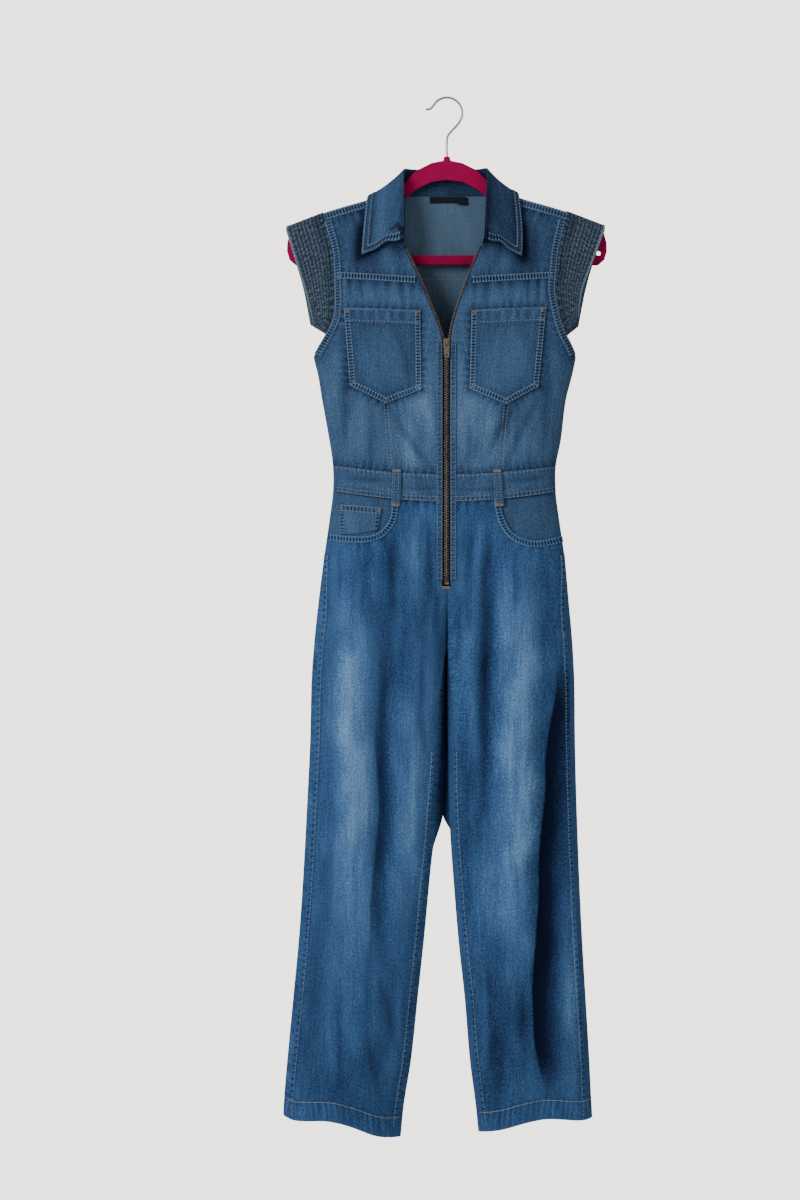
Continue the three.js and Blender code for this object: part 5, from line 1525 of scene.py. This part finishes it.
def quilted_denim():
    """Denim drawn up by close quilting, with short dark furrows that wind between the stitches."""
    finish = Finish("quilted_denim")
    weave = finish.layer("weave", "Vector")
    fade, wear = finish.layer("fade"), finish.layer("wear")
    ticks = finish.node("TexNoise", None, {
        "Vector": finish.scaled(weave, (210.0, 340.0, 1.0), 0.5), "Scale": 1.0, "Detail": 1.0,
        "Roughness": 0.5, "Distortion": 0.9})
    furrow = (1.0 - (ticks - 0.5).size() * 13.0).clamped()
    grain = finish.yarns(weave, 900.0, 500.0, 2.0, 0.6)
    # The layer of wash read here also carries painted shade.
    tone = 0.50 - furrow * 0.25 + fade + wear + (grain - 0.5) * 0.4
    colour = finish.shade(GREYED, tone)
    return finish.surface(
        base_color=colour, roughness=0.86 + grain * 0.1, sheen_weight=0.06, sheen_roughness=0.5,
        specular_ior_level=0.22, normal=finish.bump(grain * 0.3 - furrow, 0.0004, 0.7))


QUILTED = quilted_denim()
BINDING = denim("sleeve_binding", 0.74, GREYED, 0.7)


def gathers(v):
    """The small folds along the sleeve's seam."""
    return np.sin(2 * np.pi * v * SLEEVE_LONG / 8.5 + 1.7 * np.sin(v * 31))


def channel(u, v):
    """One quilted channel's round, the tick of its stitches, and the valley beside it."""
    phase = u * CHANNELS
    number = np.floor(phase)
    across = phase - number
    wander = 3.4 * np.sin(v * 23 + number * 2.3) + 2.4 * np.sin(v * 57 + number * 4.1) + 1.6 * across
    tick = np.sin(2 * np.pi * (v * SLEEVE_LONG / 5.4 + 0.37 * number) + wander)
    return np.sin(np.pi * across) ** 0.7, tick, bell(np.minimum(across, 1 - across), 0.2)


def sleeve(left):
    name, way = side_of(left)

    def lift(u, v):
        puff, tick, valley = channel(u, v)
        gather = bell(u * SLEEVE_WIDE, 11) * gathers(v)
        return 0.5 + 0.5 * puff + 0.20 * tick * (0.35 + valley) + 0.35 * gather

    def wear(u, v, found):
        puff, tick, valley = channel(u, v)
        rim = bell((1 - u) * SLEEVE_WIDE, 1.6)
        return 0.07 + 0.16 * (puff - 0.7) + 0.15 * tick * (0.5 + valley) - 0.16 * valley + 0.28 * rim

    def fade(u, v, found):
        # The three dark lines are painted shade of long gathers by the armhole.
        seams = sum(bell(u - at - 0.02 * np.sin(v * 19 + at * 40), 0.018) for at in (0.07, 0.15, 0.25))
        return (bell(u * SLEEVE_WIDE, 9) * (0.12 * gathers(v) - 0.06)
                - 0.20 * seams * (0.7 + 0.3 * np.sin(v * 37)))

    outward = np.array([0.2 * way, 0.0, 1.0])
    cloth = Cloth(f"sleeve_{name}_cloth").grid(60, 300, sleeve_place(left, lift), outward, fade, wear)
    piece = cloth.sewn([QUILTED, DENIM_BACK], nodes=[f"sleeve_{name}"], slot="quilted_denim", thick=1.3)

    def edge_place(u, v):
        def rounded(across, along):
            return 1.0 + 0.5 * np.sin(np.pi * u)
        return sleeve_place(left, rounded)(lerp(0.955, 1.012, u), v)

    def edge_wear(u, v, found):
        return 0.14 * pucker(v * SLEEVE_LONG, u, 4.4, 81.0)

    edge = Cloth(f"sleeve_{name}_binding").grid(4, 230, edge_place, outward, None, edge_wear)
    edge = edge.sewn([BINDING], thick=TRIM_THICK, slot="quilted_denim")


sleeve(True)
sleeve(False)


# The collar: a stand that rises from the neck seam to the roll, and a pointed fall outside it,
# in two layers of denim. Two rows run along the fall's edge, and the front facings end in it.
COLLAR = np.array([  # the neck seam, the roll and the free edge, from the left end round the back
    ((-61.4, -22, -205.5), (-60.5, -33, -200), (-120, -26, -222)),
    ((-67.4, -17, -180), (-60, -31, -170), (-118, -22, -196)),
    ((-72.3, -10.6, -152), (-60, -24, -134), (-115.5, -16, -168)),
    ((-74.4, -4, -132), (-60, -11, -104), (-112, -9, -141.5)),
    ((-72, 5.8, -133.4), (-57, 2, -97.5), (-104, 8, -136)),
    ((-52, 7.8, -135.6), (-42, 12, -97), (-72, 20, -141)),
    ((0, 9.1, -135.6), (0, 16, -96.5), (0, 27, -147)),
    ((52, 7.8, -135.6), (41, 12, -96.5), (70, 20, -140)),
    ((72, 5.8, -133.4), (54, 2, -96.5), (95, 8, -133)),
    ((74.2, -4, -132), (56, -11, -103), (101, -9, -137.5)),
    ((70.3, -11, -152), (54.5, -24, -134), (104.5, -16, -166)),
    ((61.4, -18, -180), (53.5, -31, -170), (106, -22, -197)),
    ((49.4, -23, -205.5), (52, -33, -200), (105, -26, -224)),
])
COLLAR_LONG, FALL_WIDE = 470.0, 62.0
COLLAR_OUT = np.array([0, 1, 0.6])
COLLAR_PITCH = 4.6
ROLLED = 0.35  # share of the way from the neck seam to the free edge
BELLY = 3.0


# Painted shadow in a fold beside the left roll.
COLLAR_FOLD_SHADOW = [[(-78, -187), (-70, -181), (-63, -188)]]  # a dark fold beside the left roll


def through(points, share):
    """A smooth line through the given points, each an equal share of the way."""
    points = np.asarray(points, float)
    padded_points = np.concatenate([[2 * points[0] - points[1]], points, [2 * points[-1] - points[-2]]])
    at = np.clip(share, 0, 1) * (len(points) - 1)
    i = np.clip(at.astype(int), 0, len(points) - 2)
    t = (at - i)[:, None]
    a, b, c, d = (padded_points[i + k] for k in range(4))
    return 0.5 * (2 * b + (c - a) * t + (2 * a - 5 * b + 4 * c - d) * t ** 2
                  + (3 * b - a - 3 * c + d) * t ** 3)


def collar_point(u, v):
    base, roll, edge = (through(COLLAR[:, k], u) for k in range(3))
    tangent = through(COLLAR[:, 1], u + 1e-3) - through(COLLAR[:, 1], u - 1e-3)
    rise = np.clip(v / ROLLED, 0, 1)[:, None]
    fall = np.clip((v - ROLLED) / (1 - ROLLED), 0, 1)[:, None]
    stand = base + (roll - base) * rise
    belly = np.cross(edge - roll, tangent)
    belly /= np.linalg.norm(belly, axis=1, keepdims=True)
    # the cloth turns over at the roll in a small round, not in a crease
    leaf = roll + (edge - roll) * fall + belly * BELLY * np.sin(np.pi * fall) ** 0.8
    # the two front ends do not run straight to their points: they are lifted next to the roll
    end = bell(np.minimum(u, 1 - u) * COLLAR_LONG, 22)[:, None]
    leaf = leaf + np.array([0, 0, 5.5]) * end * bell(fall - 0.42, 0.17)
    return np.where(v[:, None] < ROLLED, stand, leaf)


def collar_normal(u, v):
    step = 2e-3
    du = collar_point(np.clip(u + step, 0, 1), v) - collar_point(np.clip(u - step, 0, 1), v)
    dv = collar_point(u, np.clip(v + step, 0, 1)) - collar_point(u, np.clip(v - step, 0, 1))
    normal = np.cross(du, dv)
    normal /= np.linalg.norm(normal, axis=1, keepdims=True)
    at, ahead, up = collar_point(np.array([0.5, 0.502, 0.5]), np.array([0.6, 0.6, 0.602]))
    turned = np.dot(np.cross(ahead - at, up - at), COLLAR_OUT) < 0
    return -normal if turned else normal


def collar():
    def from_edge(u, v):
        """Distance in millimetres from the fall's free edge and from its two ends."""
        return (1 - v) / (1 - ROLLED) * FALL_WIDE, np.minimum(u, 1 - u) * COLLAR_LONG

    def lift(u, v):
        low, end = from_edge(u, v)
        near = np.where(v > ROLLED + 0.02, np.minimum(low, end), 99.0)
        return 0.8 + smooth((11 - near) / 3) * 0.3

    def place(u, v):
        return collar_point(u, v) + collar_normal(u, v) * lift(u, v)[:, None]

    def fade(u, v, found):
        low, end = from_edge(u, v)
        near = np.minimum(low, end)
        # Painted shade: darker towards the right end, away from the light.
        shaded = -0.05 - 0.16 * smooth((u - 0.66) / 0.16)
        # Painted shade along the roll near the ends, and in the fold beside the left roll.
        inner = -0.26 * bell(v - ROLLED, 0.09) * bell(end, 90)
        inner += -0.34 * hollow(found[:, 0], found[:, 2], COLLAR_FOLD_SHADOW, 3.4)
        # Painted shade on the stand, inside the fall.
        stand = np.where(v < ROLLED, -0.16, 0.0)
        # Painted shade just inside the raised band along the edge.
        beside_seam = -0.12 * bell(near - 12.5, 3.0)
        centre = 0.07 * bell(near - 27, 11)
        return shaded + inner + stand + np.where(v > ROLLED, beside_seam + centre, 0.0)

    def wear(u, v, found):
        return 0.08 * bell(v - ROLLED, 0.02)

    cloth = Cloth("collar_cloth").grid(300, 64, place, COLLAR_OUT, fade, wear, turned_grain=True)
    piece = cloth.sewn([DENIM, DENIM], nodes=["collar"], thick=1.7)

    side, seam_half, seam_near = 56.0, 5.0, 5.8
    run_all = 2 * side + COLLAR_LONG

    # true distances inward from the free edge and from an end, at even steps
    steps = np.linspace(0, 0.3, 40)
    inward = collar_point(np.full(40, 0.15), 1 - steps * (1 - ROLLED))
    true_near = np.linalg.norm(inward - inward[0], axis=1)
    sideways = collar_point(steps * 0.3, np.full(40, 0.8))
    true_side = np.linalg.norm(sideways - sideways[0], axis=1)

    def edge_path(near, v):
        """Down one end, along the free edge and up the other end, at a distance from the edge."""
        at = v * run_all
        long = np.clip((at - side) / COLLAR_LONG, 0, 1)
        rise = np.clip((run_all / 2 - np.abs(at - run_all / 2)) / side, 0, 1)
        end_u = np.interp(near, true_side, steps * 0.3)
        edge_v = 1 - np.interp(near, true_near, steps) * (1 - ROLLED)
        return lerp(end_u, 1 - end_u, long), lerp(ROLLED + 0.05, edge_v, rise)

    knots = np.linspace(0, 1, 1500)
    middle = collar_point(*edge_path(np.full(1500, seam_near), knots))
    length = np.concatenate([[0], np.cumsum(np.linalg.norm(np.diff(middle, axis=0), axis=1))])

    def bars(v, off):
        return ladder(np.interp(v, knots, length), off, COLLAR_PITCH, 91.0)

    def edge_place(u, v):
        off = (u - 0.5) * 2
        on_u, on_v = edge_path(seam_near + off * seam_half, v)
        out = 1.35 + 0.35 * (1 - off ** 4) + 0.4 * bars(v, off) * (1 - off ** 4)
        return collar_point(on_u, on_v) + collar_normal(on_u, on_v) * out[:, None]

    def edge_wear(u, v, found):
        off = (u - 0.5) * 2
        return 0.62 * bars(v, off) + 0.20 * smooth((np.abs(off) - 0.72) / 0.28)

    # Painted shade on the edge band: darker towards the right end, away from the light.
    def edge_shade(u, v, found):
        return -0.05 - 0.13 * smooth((v - 0.62) / 0.16)

    trims = Cloth("collar_bands").grid(8, 640, edge_place, COLLAR_OUT, edge_shade, edge_wear)
    trims = trims.sewn([DENIM], thick=TRIM_THICK)
    thread = Stitching("collar_stitches", THREAD)
    count = int(length[-1] / COLLAR_PITCH)
    at = np.interp((np.arange(count) + 0.5) / count * length[-1], length, knots)
    for near in (seam_near - 3.3, seam_near + 3.3):
        on_u, on_v = edge_path(np.full(count, near), at)
        normal = collar_normal(on_u, on_v)
        thread.place(collar_point(on_u, on_v) + normal * 2.0, normal, 3.0, 0.8)
    thread = thread.sewn()


collar()


# The zip: two woven black tapes behind the folded edges of the fronts, a row of bronze teeth on
# each, the slider with its small pull tab, and a stop at the foot.
SLIDER_TOP = -340.0
COLLAR_END = -206.0
TOOTH_WIDE, TOOTH_HIGH = 1.15, 1.5
OPEN_PITCH, CLOSED_PITCH = 2.7, 1.75


def tape_weave():
    finish = Finish("zip_tape_weave")
    weave = finish.layer("weave", "Vector")
    ribs = finish.yarns(weave, 1400.0, 500.0, 2.0)
    haze = finish.noise(weave, 200.0, 2.0)
    colour = finish.shade([(0.3, 10, 13, 22), (0.8, 30, 36, 50)], ribs * 0.6 + haze * 0.4)
    return finish.surface(base_color=colour, roughness=0.85 + haze * 0.1, specular_ior_level=0.2,
                          normal=finish.bump(ribs, 0.0002, 0.8))


def zip_metal():
    finish = Finish("bronze_metal")
    place = finish.place()
    wear = finish.noise(place, 420.0, 3.0)
    haze = finish.noise(place, 90.0, 3.0)
    colour = finish.shade([(0.3, 96, 84, 76), (0.7, 164, 148, 136)], wear * 0.6 + haze * 0.4)
    return finish.surface(base_color=colour, metallic=0.85, roughness=0.32 + haze * 0.2,
                          normal=finish.bump(wear, 0.0001, 0.5))


TAPE, BRONZE = tape_weave(), zip_metal()


def tooth_shape():
    bm = bmesh.new()
    bmesh.ops.create_cube(bm, size=1.0)
    bmesh.ops.bevel(bm, geom=list(bm.edges), offset=0.16, segments=1, affect="EDGES", profile=0.5,
                    material=-1)
    return meshed("tooth", bm)


TOOTH = tooth_shape()


def teeth(name, places, long, nodes):
    """One piece of many small teeth: a place, the way it points and the way out, for each."""
    bm = bmesh.new()
    for at, way, up in places:
        stamp(bm, TOOTH, at, way, up, long, TOOTH_WIDE, TOOTH_HIGH)
    piece = linked(name, meshed(name, bm))
    piece.data.materials.append(BRONZE)
    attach(piece, "garment")
    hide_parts(*nodes)
    return piece


def zip_tape(left):
    name, way = side_of(left)

    def place(u, v):
        z = lerp(ZIP_FOOT + 1.2, COLLAR_END - 3, v)
        closed_x = np.full(z.shape, ZIP_X + way * 0.3)
        open_x = front_edge[left](z) - way * 2.4
        parting = smooth((z - SLIDER_TOP - 2) / 14)
        x = lerp(closed_x, open_x, parting) + way * 13 * u
        return laid(x, z, -2.3, True, left)

    tape = Cloth(f"zip_tape_{name}_cloth").grid(7, 240, place, FRONTWARDS).sewn(
        [TAPE, TAPE], nodes=[f"zip_tape_{name}"], slot="zip_tape", thick=0.9)
    heights = np.arange(SLIDER_TOP + 1.5, COLLAR_END - 6, OPEN_PITCH)
    x = front_edge[left](heights) - way * 2.2
    places, out = standing(x, heights, 0.1, True, left)
    across = np.cross(np.gradient(places, axis=0), out)
    row = teeth(f"zip_teeth_{name}_row", zip(places, across, out), 2.9, [f"zip_teeth_{name}"])
    edge = Cloth(f"zip_edge_{name}")
    line = [(ZIP_X + way * (ZIP_HALF + 4.4), z) for z in (-346, -400, -500, -600, -676)]
    band(edge, line, 4.4, lift=0.9, high=0.2, period=7.0, left=left, seed=101.0, contrast=0.13,
         shade=-0.02, rim=0.09)
    edge = edge.sewn([DENIM], thick=0.7)
    thread = Stitching(f"zip_edge_{name}_stitches", THREAD)
    thread.rows(line, (2.7 * way, -3.0 * way), lift=1.75, left=left, thick=0.6)
    thread = thread.sewn()


def closed_teeth():
    places = []
    for number, z in enumerate(np.arange(ZIP_FOOT + 5.6, SLIDER_TOP - 13, CLOSED_PITCH)):
        way = -1 if number % 2 else 1
        (at,), (out,) = standing([ZIP_X + way * 1.1], [z], 0.0)
        places.append((at, (way, 0, 0), out))
    teeth("zip_chain_closed", places, 4.2, ["zip_teeth_closed"])


def dress_zip_metal():
    for node in ("zip_slider", "zip_pull_tab", "zip_stop"):
        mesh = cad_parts[node].data
        mesh.materials.clear()
        mesh.materials.append(BRONZE)
    foot = Stitching("zip_foot_tack", TACK_THREAD)
    foot.tack(ZIP_X, ZIP_FOOT - 2.2, 0.0, lift=0.9, long=10)
    foot.sewn()


zip_tape(True)
zip_tape(False)
closed_teeth()
dress_zip_metal()


# The labels at the back of the neck: a woven black one, blank, and a small blank tab beside it.
def neck_label():
    def place(u, v):
        return laid(lerp(-24, 26, u), lerp(-145.5, -136.5, v), -1.7 - 0.25 * np.sin(u * 9), False)

    def tab_place(u, v):
        return laid(lerp(16, 29, u), lerp(-148, -137.5, v), -2.8 - 0.6 * (1 - v), False)

    label = Cloth("neck_label_cloth").grid(24, 8, place, BACKWARDS).sewn(
        [TAPE, TAPE], nodes=["neck_label"], slot="label", thick=0.6)
    tab = Cloth("size_tab_cloth").grid(8, 10, tab_place, BACKWARDS).sewn(
        [TAPE, TAPE], slot="label", thick=0.5)


neck_label()
